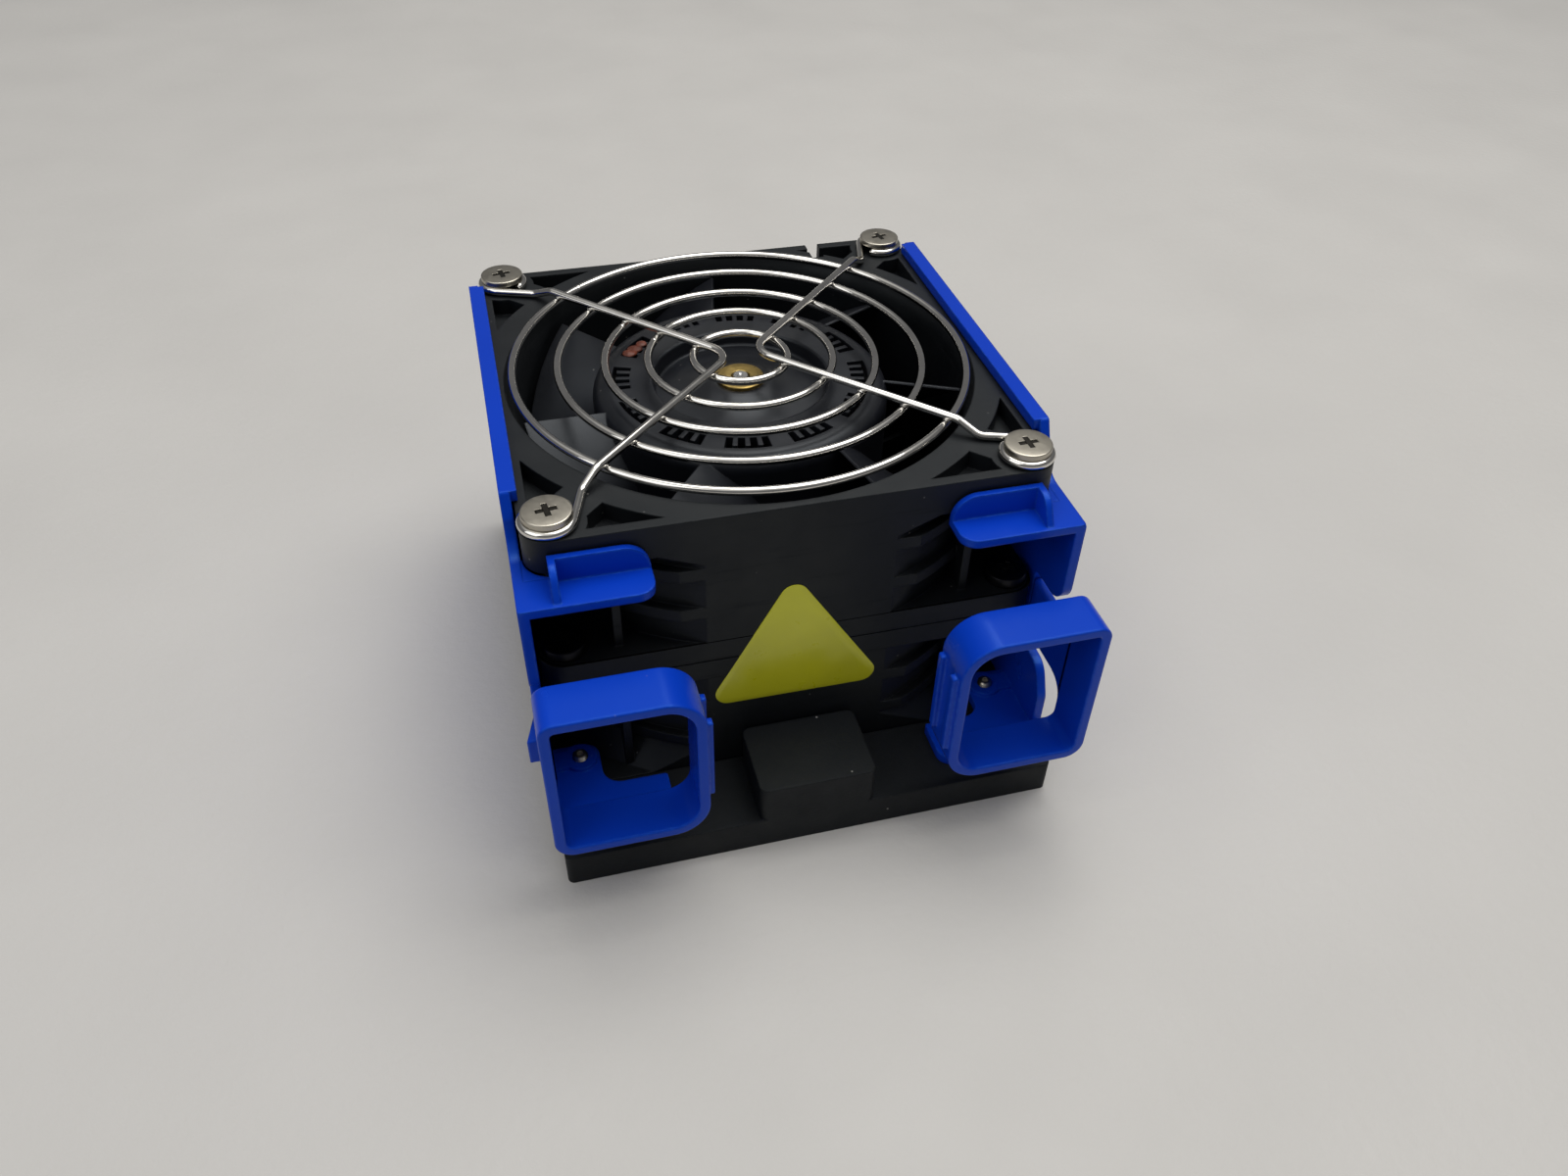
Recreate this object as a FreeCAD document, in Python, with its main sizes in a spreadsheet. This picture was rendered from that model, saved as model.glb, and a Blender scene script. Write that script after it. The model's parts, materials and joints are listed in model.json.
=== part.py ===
"""Hot-swap server fan module: two counter-rotating 92 mm fans in a latching plastic carrier.

The module stands on its outlet side. The fan axis is Z, the air enters at the top through
a wire guard and leaves at the bottom through a rubber gasket. The finger loops and their
latches face -Y, and the blind-mate connector faces +Y, the direction of insertion.
The origin is on the fan axis in the plane that the gasket stands on. Units are millimetres.
"""

import FreeCAD, Part
import math
import os

V = FreeCAD.Vector
UP = V(0, 0, 1)

DIMENSIONS = {
    # fan sections: standard 92 x 92 x 32 mm, stacked seam to seam
    "fan_side": 92.0,
    "fan_corner": 4.5,
    "fan_depth": 32.0,
    "hole_spacing": 82.5,
    "flange_hole": 2.15,
    "seam_level": 34.2,
    "seam_flange": 4.4,
    "upper_inlet_flange": 6.5,
    "lower_inlet_flange": 4.8,
    "tube_radius": 49.0,
    "throat_radius": 43.3,
    "mouth_radius": 44.6,
    "mouth_depth": 5.0,
    "web_place": 32.0,
    "web_reach": 43.0,
    "web_wall": 1.5,
    "rib_radius": 50.7,
    "rib_wall": 2.4,
    "rib_low": 10.4,
    "rib_high": 19.1,
    "flare_start": 22.2,
    "recess_depth": 3.4,
    "recess_edge": 44.0,
    "recess_inner": 49.5,
    "recess_boss": 6.3,
    "recess_web": 4.0,
    "notch_width": 2.8,
    "notch_depth": 6.3,
    # motor base, struts and bearing tube of one fan
    "base_radius": 29.0,
    "base_wall": 2.2,
    "strut_height": 6.0,
    "strut_width": 2.6,
    "strut_count": 5,
    "lead_strut_width": 7.0,
    "lead_channel": 3.0,
    "bearing_tube_outer": 5.6,
    "bearing_tube_height": 17.0,
    "bearing_radius": 4.0,
    "bearing_bore": 1.56,
    "bearing_height": 4.0,
    "bearing_low": 3.2,
    "bearing_high": 12.8,
    "shaft_radius": 1.5,
    "shaft_low": 1.6,
    "shaft_high": 29.1,
    "clip_radius": 2.7,
    "clip_low": 2.2,
    "clip_wall": 0.6,
    # rotor
    "hub_radius": 28.5,
    "hub_low": 7.0,
    "hub_high": 29.3,
    "hub_edge": 3.2,
    "hub_skin": 1.5,
    "dish_radius": 16.9,
    "dish_depth": 3.0,
    "crown_wall": 1.8,
    "slot_inner": 21.3,
    "slot_outer": 24.7,
    "bushing_radius": 4.3,
    "bushing_high": 28.3,
    "blade_tip": 42.4,
    "blade_low": 8.2,
    "blade_high": 28.2,
    "upper_blades": 7,
    "lower_blades": 5,
    "yoke_wall": 1.0,
    "yoke_low": 8.0,
    "magnet_inner": 23.7,
    "magnet_low": 9.0,
    "magnet_height": 13.0,
    # stator
    "board_radius": 24.5,
    "board_wall": 1.2,
    "core_radius": 23.2,
    "core_low": 10.6,
    "core_height": 7.0,
    "core_ring": 9.5,
    "pole_width": 4.0,
    "pole_count": 6,
    "shoe_inner": 20.6,
    "coil_wall": 2.2,
    "coil_overhang": 2.0,
    # wire guard and its screws
    "wire_radius": 0.78,
    "ring_level": 67.55,
    "arm_level": 68.85,
    "eye_level": 66.98,
    "eye_radius": 4.2,
    "eye_reach": 9.0,
    "eye_angle": 290.0,
    "joggle_length": 4.4,
    "apex_bend": 4.6,
    "guard_head_radius": 4.2,
    "guard_head_low": 67.78,
    "guard_head_high": 69.0,
    "guard_shank_low": 56.2,
    "screw_radius": 1.9,
    "joining_head_radius": 3.9,
    "joining_head_height": 2.2,
    "joining_shank_low": 29.0,
    "carrier_head_radius": 3.4,
    "carrier_head_low": 0.9,
    "carrier_shank": 1.45,
    "carrier_shank_high": 10.7,
    # carrier
    "wall_inner": 46.4,
    "wall_outer": 48.2,
    "wall_low": 7.0,
    "rail_top": 68.5,
    "rail_front": -34.5,
    "rail_back": 38.0,
    "lip_inner": 45.3,
    "lip_low": 66.5,
    "lip_back": 37.4,
    "back_wall_top": 61.0,
    "shelf_top": 59.2,
    "shelf_wall": 1.5,
    "shelf_front": -53.8,
    "shelf_back": -46.3,
    "tray_end": 26.0,
    "tray_rib": 41.2,
    "tray_top": 63.8,
    "tray_wall": 1.2,
    "plate_top": 9.0,
    "plate_front": -58.0,
    "plate_back": -48.4,
    "plate_end": 25.8,
    "ear_reach": 37.6,
    "boss_top": 9.8,
    # latches
    "hinge_place": -44.0,
    "hinge_radius": 0.9,
    "socket_radius": 0.97,
    "arm_low": 26.7,
    "arm_high": 38.5,
    "slot_end": -43.4,
    "loop_front": -69.0,
    "loop_back": -60.0,
    "loop_end": 21.5,
    "loop_low": 16.7,
    "loop_high": 49.0,
    "loop_wall": 1.9,
    "wedge_reach": 50.1,
    "wedge_catch": -58.2,
    "wedge_start": -52.4,
    "wedge_low": 29.5,
    "wedge_high": 34.8,
    "grip_end": 20.5,
    "grip_low": 24.5,
    "grip_high": 42.0,
    # gasket
    "gasket_half": 47.0,
    "gasket_front": -62.4,
    "gasket_top": 7.0,
    "gasket_floor": 2.2,
    "gasket_hole": 45.0,
    "gasket_fit": 0.2,
    "gasket_edge": 1.2,
    "block_half": 11.0,
    "block_top": 15.2,
    "block_back": -46.5,
    # rear connector and leads
    "plug_place": 20.0,
    "plug_half": 12.0,
    "plug_low": 12.0,
    "plug_high": 24.0,
    "plug_back": 57.0,
    "plug_flange": 2.0,
    "plug_depth": 8.0,
    "contact_back": 6.5,
    "lead_radius": 1.1,
    "lead_place": 27.0,
    "upper_lead_row": 44.3,
    "lower_lead_row": 41.7,
}

document = FreeCAD.newDocument("server_fan_module")
sheet = document.addObject("Spreadsheet::Sheet", "Sizes")
for row, (alias, number) in enumerate(DIMENSIONS.items(), start=1):
    sheet.set("A%d" % row, alias)
    sheet.set("B%d" % row, repr(number))
    sheet.setAlias("B%d" % row, alias)
document.recompute()

nodes = []


# ---------------------------------------------------------------- helpers

def dim(alias):
    """Value of one cell of the sheet."""
    return float(sheet.get(alias))


def outline(corners):
    """Closed outline through corners (u, v) or (u, v, radius), where radius rounds the corner."""
    arcs = []
    count = len(corners)
    for index, corner in enumerate(corners):
        point = V(corner[0], corner[1], 0)
        before = V(*corners[index - 1][:2], 0) - point
        after = V(*corners[(index + 1) % count][:2], 0) - point
        radius = corner[2] if len(corner) > 2 else 0
        if radius == 0:
            arcs.append((point, None, point))
            continue
        half_angle = before.getAngle(after) / 2
        setback = radius / math.tan(half_angle)
        before.normalize()
        after.normalize()
        inward = (before + after).normalize()
        middle = point + inward * (radius / math.sin(half_angle) - radius)
        arcs.append((point + before * setback, middle, point + after * setback))
    curves = []
    for index, (start, middle, end) in enumerate(arcs):
        if middle is not None:
            curves.append(Part.Arc(start, middle, end))
        following = arcs[(index + 1) % count][0]
        if (following - end).Length > 1e-6:
            curves.append(Part.LineSegment(end, following))
    return curves


def rectangle(low_u, high_u, low_v, high_v, radius=0):
    """Rounded rectangle, whichever order the limits come in."""
    u0, u1 = sorted((low_u, high_u))
    v0, v1 = sorted((low_v, high_v))
    return outline([(u0, v0, radius), (u1, v0, radius), (u1, v1, radius), (u0, v1, radius)])


def circle(radius, u=0.0, v=0.0):
    return [Part.Circle(V(u, v, 0), UP, radius)]


def arc_about(centre, radius, start_angle, end_angle):
    """Arc in the sketch plane from one angle to another, in degrees."""
    points = []
    for angle in (start_angle, (start_angle + end_angle) / 2, end_angle):
        turn = math.radians(angle)
        points.append(V(centre[0] + radius * math.cos(turn), centre[1] + radius * math.sin(turn), 0))
    return Part.Arc(*points)


def ring_sector(inner, outer, start_angle, end_angle):
    """Closed outline of a piece of a flat ring."""
    first = arc_about((0, 0), outer, start_angle, end_angle)
    second = arc_about((0, 0), inner, end_angle, start_angle)
    return [first, Part.LineSegment(first.EndPoint, second.StartPoint),
            second, Part.LineSegment(second.EndPoint, first.StartPoint)]


def mirrored(corners, side):
    """Corners with their first coordinate on the chosen side of the YZ plane."""
    return [(side * corner[0],) + tuple(corner[1:]) for corner in corners]


def new_body(label):
    body = document.addObject("PartDesign::Body", label)
    body.Label = label
    nodes.append(body)
    return body


def plane_of(body, role):
    return [feature for feature in body.Origin.OriginFeatures if feature.Role == role][0]


def sketch_on(body, curves, level, role):
    """Sketch on one of the body's own planes, moved along the plane's normal to a level."""
    sketch = body.newObject("Sketcher::SketchObject", "Sketch")
    sketch.AttachmentSupport = [(plane_of(body, role), "")]
    sketch.MapMode = "FlatFace"
    sketch.setExpression("AttachmentOffset.Base.z", level)
    for curve in curves:
        sketch.addGeometry(curve, False)
    return sketch


def pad(body, curves, length, level="0", role="XY_Plane"):
    """Material from a level along the plane's normal: +Z, +X or, on the XZ plane, -Y."""
    feature = body.newObject("PartDesign::Pad", "Pad")
    feature.Profile = sketch_on(body, curves, level, role)
    feature.setExpression("Length", length)
    return feature


def pocket(body, curves, depth, level, role="XY_Plane"):
    """Cut from a level against the plane's normal: down, or, on the XZ plane, towards +Y."""
    feature = body.newObject("PartDesign::Pocket", "Pocket")
    feature.Profile = sketch_on(body, curves, level, role)
    feature.setExpression("Length", depth)
    return feature


def turned(body, curves, kind="Revolution", seam=0):
    """Full turn of a profile about the Z axis, added or, as a Groove, taken away.

    The profile lies in the XZ plane turned about Z by the angle seam, where the faces close.
    """
    feature = body.newObject("PartDesign::" + kind, kind)
    sketch = sketch_on(body, curves, "0", "XZ_Plane")
    sketch.AttachmentOffset = FreeCAD.Placement(V(0, 0, 0), FreeCAD.Rotation(V(0, 1, 0), seam))
    feature.Profile = sketch
    feature.ReferenceAxis = (sketch, ["V_Axis"])
    feature.Angle = 360
    return feature


def around(body, feature, count):
    """Even polar pattern of one feature about the Z axis."""
    document.recompute()
    pattern = body.newObject("PartDesign::PolarPattern", "PolarPattern")
    pattern.Originals = [feature]
    pattern.Axis = (plane_of(body, "Z_Axis"), [""])
    pattern.Angle = 360
    pattern.setExpression("Occurrences", count)
    body.Tip = pattern
    return pattern


def cylinder(radius, low, high, x="0", y="0"):
    """Upright Part::Cylinder whose sizes are expressions."""
    solid = document.addObject("Part::Cylinder", "Cylinder")
    solid.setExpression("Radius", radius)
    solid.setExpression("Height", "(%s) - (%s)" % (high, low))
    for key, place in (("x", x), ("y", y), ("z", low)):
        solid.setExpression("Placement.Base." + key, place)
    return solid


def cut(base, tool):
    result = document.addObject("Part::Cut", "Cut")
    result.Base = base
    result.Tool = tool
    return result


def fuse(parts):
    result = document.addObject("Part::MultiFuse", "Fuse")
    result.Shapes = parts
    return result


def group(label, parts):
    """One node that holds several separate solids."""
    result = document.addObject("Part::Compound", label)
    result.Links = parts
    result.Label = label
    nodes.append(result)
    return result


def sleeve(label, outer, inner, low, high):
    """Plain ring about the Z axis, made as one cylinder cut from another."""
    result = cut(cylinder(outer, low, high), cylinder(inner, "%s - 1" % low, "%s + 1" % high))
    result.Label = label
    nodes.append(result)
    return result


def place_section(part, section):
    """Stand a fan section's part on the seam: the upper one upright, the lower one upside down."""
    turn = FreeCAD.Rotation(V(1, 0, 0), 0 if section == "upper" else 180)
    part.Placement = FreeCAD.Placement(V(0, 0, dim("seam_level")), turn)
    part.setExpression("Placement.Base.z", "Sizes.seam_level")


def back_side(section):
    """Sign of +Y of the module in a section's own frame, which is turned over on the lower one."""
    return 1 if section == "upper" else -1


def rounded_path(points, radii):
    """Edges of a path through points, with an arc of the given radius at each inner point."""
    edges = []
    start = points[0]
    for index in range(1, len(points) - 1):
        point = points[index]
        before = (points[index - 1] - point).normalize()
        after = (points[index + 1] - point).normalize()
        half_angle = before.getAngle(after) / 2
        radius = radii[index - 1]
        setback = radius / math.tan(half_angle)
        inward = (before + after).normalize()
        middle = point + inward * (radius / math.sin(half_angle) - radius)
        arc = Part.Arc(point + before * setback, middle, point + after * setback)
        edges.append(Part.LineSegment(start, arc.StartPoint).toShape())
        edges.append(arc.toShape())
        start = arc.EndPoint
    edges.append(Part.LineSegment(start, points[-1]).toShape())
    return edges


def facing_out(solid):
    """The same solid with its faces turned outwards."""
    return solid.reversed() if solid.Volume < 0 else solid


def tube_along(edges, radius):
    """Round bar along a path of tangent edges."""
    path = Part.Wire(edges)
    start = edges[0].valueAt(edges[0].FirstParameter)
    direction = edges[0].tangentAt(edges[0].FirstParameter)
    section = Part.Wire([Part.Circle(start, direction, radius).toShape()])
    return facing_out(path.makePipeShell([section], True, False))


def shape_node(label, shape):
    feature = document.addObject("Part::Feature", label)
    feature.Label = label
    feature.Shape = shape
    nodes.append(feature)
    return feature


# ---------------------------------------------------------------- fan frames

def clipped_disc(radius):
    """Disc cut off flat at the four sides of the fan."""
    half = dim("fan_side") / 2
    panel_angle = math.degrees(math.acos(half / radius))
    curves = []
    for quarter in range(4):
        start = 90 * quarter + panel_angle
        curves.append(arc_about((0, 0), radius, start, 90 * (quarter + 1) - panel_angle))
    for quarter in range(4):
        end = curves[quarter].EndPoint
        curves.append(Part.LineSegment(end, curves[(quarter + 1) % 4].StartPoint))
    return curves


def corner_recess(map_point):
    """Three-sided pocket beside a corner boss, mapped to its place by map_point."""
    hole = dim("hole_spacing") / 2
    edge = dim("recess_edge")
    boss = dim("recess_boss")
    inner = dim("recess_inner")
    slant = dim("recess_web") * math.sqrt(2)
    near = V(math.sqrt(inner ** 2 - edge ** 2), edge, 0)
    far = V(hole - math.sqrt(boss ** 2 - (edge - hole) ** 2), edge, 0)
    boss_u = (-slant - math.sqrt(2 * boss ** 2 - slant ** 2)) / 2
    boss_end = V(hole + boss_u, hole + boss_u + slant, 0)
    inner_u = (-slant + math.sqrt(2 * inner ** 2 - slant ** 2)) / 2
    inner_end = V(inner_u, inner_u + slant, 0)
    hole_point = V(hole, hole, 0)
    boss_middle = hole_point + ((far + boss_end) * 0.5 - hole_point).normalize() * boss
    inner_middle = ((near + inner_end) * 0.5).normalize() * inner
    near, far, boss_middle, boss_end, inner_end, inner_middle = [
        map_point(point) for point in (near, far, boss_middle, boss_end, inner_end, inner_middle)]
    return [Part.LineSegment(near, far), Part.Arc(far, boss_middle, boss_end),
            Part.LineSegment(boss_end, inner_end), Part.Arc(inner_end, inner_middle, near)]


def corner_recesses():
    curves = []
    for side_x in (-1, 1):
        for side_y in (-1, 1):
            curves += corner_recess(lambda point: V(side_x * point.x, side_y * point.y, 0))
            curves += corner_recess(lambda point: V(side_x * point.y, side_y * point.x, 0))
    return curves


def corner_circles(radius):
    curves = []
    hole = dim("hole_spacing") / 2
    for side_x in (-1, 1):
        for side_y in (-1, 1):
            curves += circle(radius, side_x * hole, side_y * hole)
    return curves


def bore_profile():
    """Air path of one fan: a straight throat with a rounded mouth at the inlet face."""
    depth = dim("fan_depth")
    throat = dim("throat_radius")
    mouth = dim("mouth_radius")
    start = depth - dim("mouth_depth")
    rim = V(mouth, depth, 0)
    curve_middle = V(throat + (mouth - throat) * 0.32, start + dim("mouth_depth") * 0.62, 0)
    return [Part.LineSegment(V(0, -1, 0), V(throat, -1, 0)),
            Part.LineSegment(V(throat, -1, 0), V(throat, start, 0)),
            Part.Arc(V(throat, start, 0), curve_middle, rim),
            Part.LineSegment(rim, V(mouth, depth + 1, 0)),
            Part.LineSegment(V(mouth, depth + 1, 0), V(0, depth + 1, 0)),
            Part.LineSegment(V(0, depth + 1, 0), V(0, -1, 0))]


def turned_rectangle(low_u, high_u, width, angle):
    """Rectangle centred on a ray from the origin at an angle in degrees."""
    along = V(math.cos(math.radians(angle)), math.sin(math.radians(angle)), 0)
    across = V(-along.y, along.x, 0) * (width / 2)
    corners = [along * low_u - across, along * high_u - across,
               along * high_u + across, along * low_u + across]
    return outline([(corner.x, corner.y) for corner in corners])


def lead_angle(section):
    """Direction of the strut that carries the leads, in the section's own frame."""
    row = dim(section + "_lead_row")
    return math.degrees(math.atan2(back_side(section) * row, dim("lead_place")))


def fan_frame(section):
    """Square fan frame with its tube, flanges, ribs, motor base, struts and bearing tube."""
    body = new_body(section + "_fan_frame")
    half = dim("fan_side") / 2
    square = rectangle(-half, half, -half, half, dim("fan_corner"))
    flange = "Sizes.%s_inlet_flange" % section
    depth = "Sizes.fan_depth"
    tube = dim("tube_radius")
    pad(body, square, "Sizes.seam_flange")
    pad(body, clipped_disc(tube), depth)
    pad(body, square, flange, depth + " - " + flange)
    flare_height = dim("fan_depth") - dim(section + "_inlet_flange") - dim("flare_start")
    flare = body.newObject("PartDesign::AdditiveLoft", "Flare")
    flare.Profile = sketch_on(body, clipped_disc(tube), "Sizes.flare_start", "XY_Plane")
    flare.Sections = [sketch_on(body, clipped_disc(tube + flare_height),
                                "%s - %s + 0.2" % (depth, flange), "XY_Plane")]
    flare.Ruled = True
    low = dim("web_place") - dim("web_wall") / 2
    high = dim("web_place") + dim("web_wall") / 2
    reach = dim("web_reach")
    for side in (-1, 1):
        pad(body, rectangle(side * low, side * high, -reach, reach), depth)
        pad(body, rectangle(-reach, reach, side * low, side * high), depth)
    for level in ("Sizes.rib_low", "Sizes.rib_high"):
        pad(body, clipped_disc(dim("rib_radius")), "Sizes.rib_wall", level)
    turned(body, bore_profile(), "Groove")
    strut_root = dim("board_radius") + 1.5
    strut_start = lead_angle(section)
    strut_end = dim("throat_radius") + 0.8
    pad(body, turned_rectangle(strut_root, strut_end, dim("lead_strut_width"), strut_start),
        "Sizes.strut_height")
    pad(body, circle(dim("base_radius")), "Sizes.base_wall")
    strut = pad(body, turned_rectangle(strut_root, strut_end, dim("strut_width"),
                                       strut_start + 180 / dim("strut_count")),
                "Sizes.strut_height")
    around(body, strut, "Sizes.strut_count")
    pad(body, circle(dim("bearing_tube_outer")), "Sizes.bearing_tube_height")
    pocket(body, circle(dim("bearing_radius")), "Sizes.bearing_tube_height - 0.8",
           "Sizes.bearing_tube_height")
    channel_end = math.hypot(dim("lead_place"), dim(section + "_lead_row"))
    pocket(body, turned_rectangle(22, channel_end, dim("lead_channel"), strut_start),
           "Sizes.lead_channel", "Sizes.lead_channel")
    back = back_side(section)
    notch_low = dim("lead_place") - dim("notch_width") / 2
    notch_high = dim("lead_place") + dim("notch_width") / 2
    notch = rectangle(notch_low, notch_high, back * (half - dim("notch_depth")), back * (half + 1))
    pocket(body, notch, depth + " + 2", depth + " + 1")
    pocket(body, corner_circles(dim("flange_hole")), depth + " + 2", depth + " + 1")
    pocket(body, corner_recesses(), "Sizes.recess_depth", depth)
    place_section(body, section)


# ---------------------------------------------------------------- rotor

def blade_section(radius, hand):
    """Curved blade section at a radius: two arcs that meet at a blunt front and back edge."""
    low = dim("blade_low")
    high = dim("blade_high")
    reach = (radius - dim("hub_radius")) / (dim("blade_tip") - dim("hub_radius"))
    sweep = 7.5 + 6.5 * reach
    camber = 2.6 - 1.4 * reach
    thickness = 1.7 - 0.5 * reach
    edge = 0.5
    front = V(-hand * sweep, high, 0)
    back = V(hand * sweep, low, 0)
    chord = (back - front).normalize()
    across = V(-chord.y, chord.x, 0) * hand
    centre = (front + back) * 0.5
    front_gap = across * (edge / 2)
    outer_middle = centre + across * (camber + thickness / 2)
    inner_middle = centre + across * (camber - thickness / 2)
    return [Part.Arc(front + front_gap, outer_middle, back + front_gap),
            Part.LineSegment(back + front_gap, back - front_gap),
            Part.Arc(back - front_gap, inner_middle, front - front_gap),
            Part.LineSegment(front - front_gap, front + front_gap)]


def hub_profile():
    """Half section of the hub as a solid with a dished crown."""
    radius = dim("hub_radius")
    top = dim("hub_high")
    dish = dim("dish_radius")
    dish_floor = top - dim("dish_depth")
    low = dim("hub_low")
    hole = dim("bushing_radius")
    return outline([(hole, low), (radius, low), (radius, top, dim("hub_edge")), (dish, top, 0.6),
                    (dish - 0.4, dish_floor, 0.6), (hole, dish_floor)])


def cup_profile():
    """Room inside the hub for the yoke, the magnet and the stator."""
    inner = dim("hub_radius") - dim("hub_skin")
    crown = dim("hub_high") - dim("crown_wall")
    step = dim("dish_radius") + 1.5
    dish_under = dim("hub_high") - dim("dish_depth") - 2.0
    low = dim("hub_low") - 1
    return outline([(1, low), (inner, low), (inner, crown), (step, crown),
                    (step, dish_under), (1, dish_under)])


def crown_windows(inner, slots, slot_angle):
    """Twelve windows round the crown, each as a number of slots with narrow ribs between them."""
    curves = []
    step = slot_angle + 2.3
    for window in range(12):
        middle = 20 + 30 * window
        for slot in range(slots):
            start = middle + (slot - (slots - 1) / 2) * step - slot_angle / 2
            curves += ring_sector(inner, dim("slot_outer"), start, start + slot_angle)
    return curves


def impeller(section):
    """Hub with twisted blades lofted outwards, trimmed to a round tip clear of the throat."""
    body = new_body(section + "_impeller")
    hand = 1 if section == "upper" else -1
    turned(body, hub_profile())
    radii = (dim("hub_radius") - 2.2, 35.0, dim("blade_tip") + 1.4)
    sections = [sketch_on(body, blade_section(radius, hand), str(radius), "YZ_Plane")
                for radius in radii]
    blade = body.newObject("PartDesign::AdditiveLoft", "Blade")
    blade.Profile = sections[0]
    blade.Sections = sections[1:]
    around(body, blade, "Sizes.%s_blades" % section)
    turned(body, cup_profile(), "Groove")
    tip = dim("blade_tip")
    between_blades = -180 / dim(section + "_blades")
    turned(body, rectangle(tip, tip + 12, 0, dim("fan_depth")), "Groove", between_blades)
    for curves in (crown_windows(dim("slot_inner"), 4, 3.3),
                   crown_windows(dim("slot_outer") - 0.8, 1, 20.1)):
        pocket(body, curves, "Sizes.crown_wall + 1", "Sizes.hub_high + 0.5")
    place_section(body, section)


def rotor_parts(section):
    """Steel yoke, magnet ring, brass hub bushing, shaft and retaining clip."""
    yoke_outer = "Sizes.hub_radius - Sizes.hub_skin"
    yoke_inner = yoke_outer + " - Sizes.yoke_wall"
    parts = [
        sleeve(section + "_rotor_yoke", yoke_outer, yoke_inner, "Sizes.yoke_low",
               "Sizes.hub_high - Sizes.crown_wall"),
        sleeve(section + "_rotor_magnet", yoke_inner, "Sizes.magnet_inner", "Sizes.magnet_low",
               "Sizes.magnet_low + Sizes.magnet_height"),
        hub_bushing(section),
        shaft(section),
        sleeve(section + "_shaft_clip", "Sizes.clip_radius", "Sizes.shaft_radius",
               "Sizes.clip_low", "Sizes.clip_low + Sizes.clip_wall"),
    ]
    for part in parts:
        place_section(part, section)


def hub_bushing(section):
    """Brass sleeve moulded into the hub, with a rounded top edge round the shaft's end."""
    body = new_body(section + "_hub_bushing")
    low = dim("hub_high") - dim("dish_depth") - 2.0
    high = dim("bushing_high")
    turned(body, outline([(dim("shaft_radius"), low), (dim("bushing_radius"), low),
                          (dim("bushing_radius"), high, 0.5), (dim("shaft_radius"), high)]))
    return body


def shaft(section):
    body = new_body(section + "_shaft")
    radius = dim("shaft_radius")
    low = dim("shaft_low")
    high = dim("shaft_high")
    turned(body, outline([(0, low), (radius - 0.3, low), (radius, low + 0.3),
                          (radius, high - 0.3), (radius - 0.3, high), (0, high)]))
    return body


# ---------------------------------------------------------------- stator

def stator_core(section):
    """Laminated core: a ring on the bearing tube, radial poles and curved pole shoes."""
    body = new_body(section + "_stator_core")
    count = int(dim("pole_count"))
    low = "Sizes.core_low"
    height = "Sizes.core_height"
    pad(body, circle(dim("core_ring")), height, low)
    for index in range(count // 2):
        pad(body, turned_rectangle(-21.5, 21.5, dim("pole_width"), 360 / count * index), height, low)
    shoe_angle = 360 / count - 9
    curves = []
    for index in range(count):
        middle = 360 / count * index
        curves += ring_sector(dim("shoe_inner"), dim("core_radius"),
                              middle - shoe_angle / 2, middle + shoe_angle / 2)
    pad(body, curves, height, low)
    pocket(body, circle(dim("bearing_tube_outer")), height + " + 2", low + " + " + height + " + 1")
    place_section(body, section)


def coils(section):
    """One copper winding round each pole, as separate solids."""
    width = dim("pole_width")
    wall = dim("coil_wall")
    low = dim("core_low")
    height = dim("core_height")
    inner = dim("core_ring") + 1.2
    length = dim("shoe_inner") - 0.6 - inner
    over = dim("coil_overhang")
    windings = []
    for index in range(int(dim("pole_count"))):
        outer_box = Part.makeBox(length, width + 2 * wall, height + 2 * over,
                                 V(inner, -width / 2 - wall, low - over))
        rounded = outer_box.makeFillet(1.2, [edge for edge in outer_box.Edges
                                             if abs(edge.tangentAt(0).x) > 0.9])
        pole = Part.makeBox(length + 2, width, height, V(inner - 1, -width / 2, low))
        winding = rounded.cut(pole)
        winding.rotate(V(0, 0, 0), UP, 360 / dim("pole_count") * index)
        windings.append(winding)
    place_section(shape_node(section + "_coils", Part.makeCompound(windings)), section)


def stator_parts(section):
    stator_core(section)
    coils(section)
    board = sleeve(section + "_circuit_board", "Sizes.board_radius", "Sizes.bearing_tube_outer",
                   "Sizes.base_wall", "Sizes.base_wall + Sizes.board_wall")
    place_section(board, section)
    races = []
    for low in ("Sizes.bearing_low", "Sizes.bearing_high"):
        high = low + " + Sizes.bearing_height"
        races.append(cut(cylinder("Sizes.bearing_radius", low, high),
                         cylinder("Sizes.bearing_bore", low + " - 1", high + " + 1")))
    place_section(group(section + "_bearings", races), section)


# ---------------------------------------------------------------- wire guard and screws

def guard_rings():
    rings = []
    for radius in (42.9, 34.5, 25.7, 17.6, 9.0):
        ring = document.addObject("Part::Torus", "Ring")
        ring.Radius1 = radius
        ring.setExpression("Radius2", "Sizes.wire_radius")
        ring.setExpression("Placement.Base.z", "Sizes.ring_level")
        rings.append(ring)
    group("guard_rings", rings)


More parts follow.
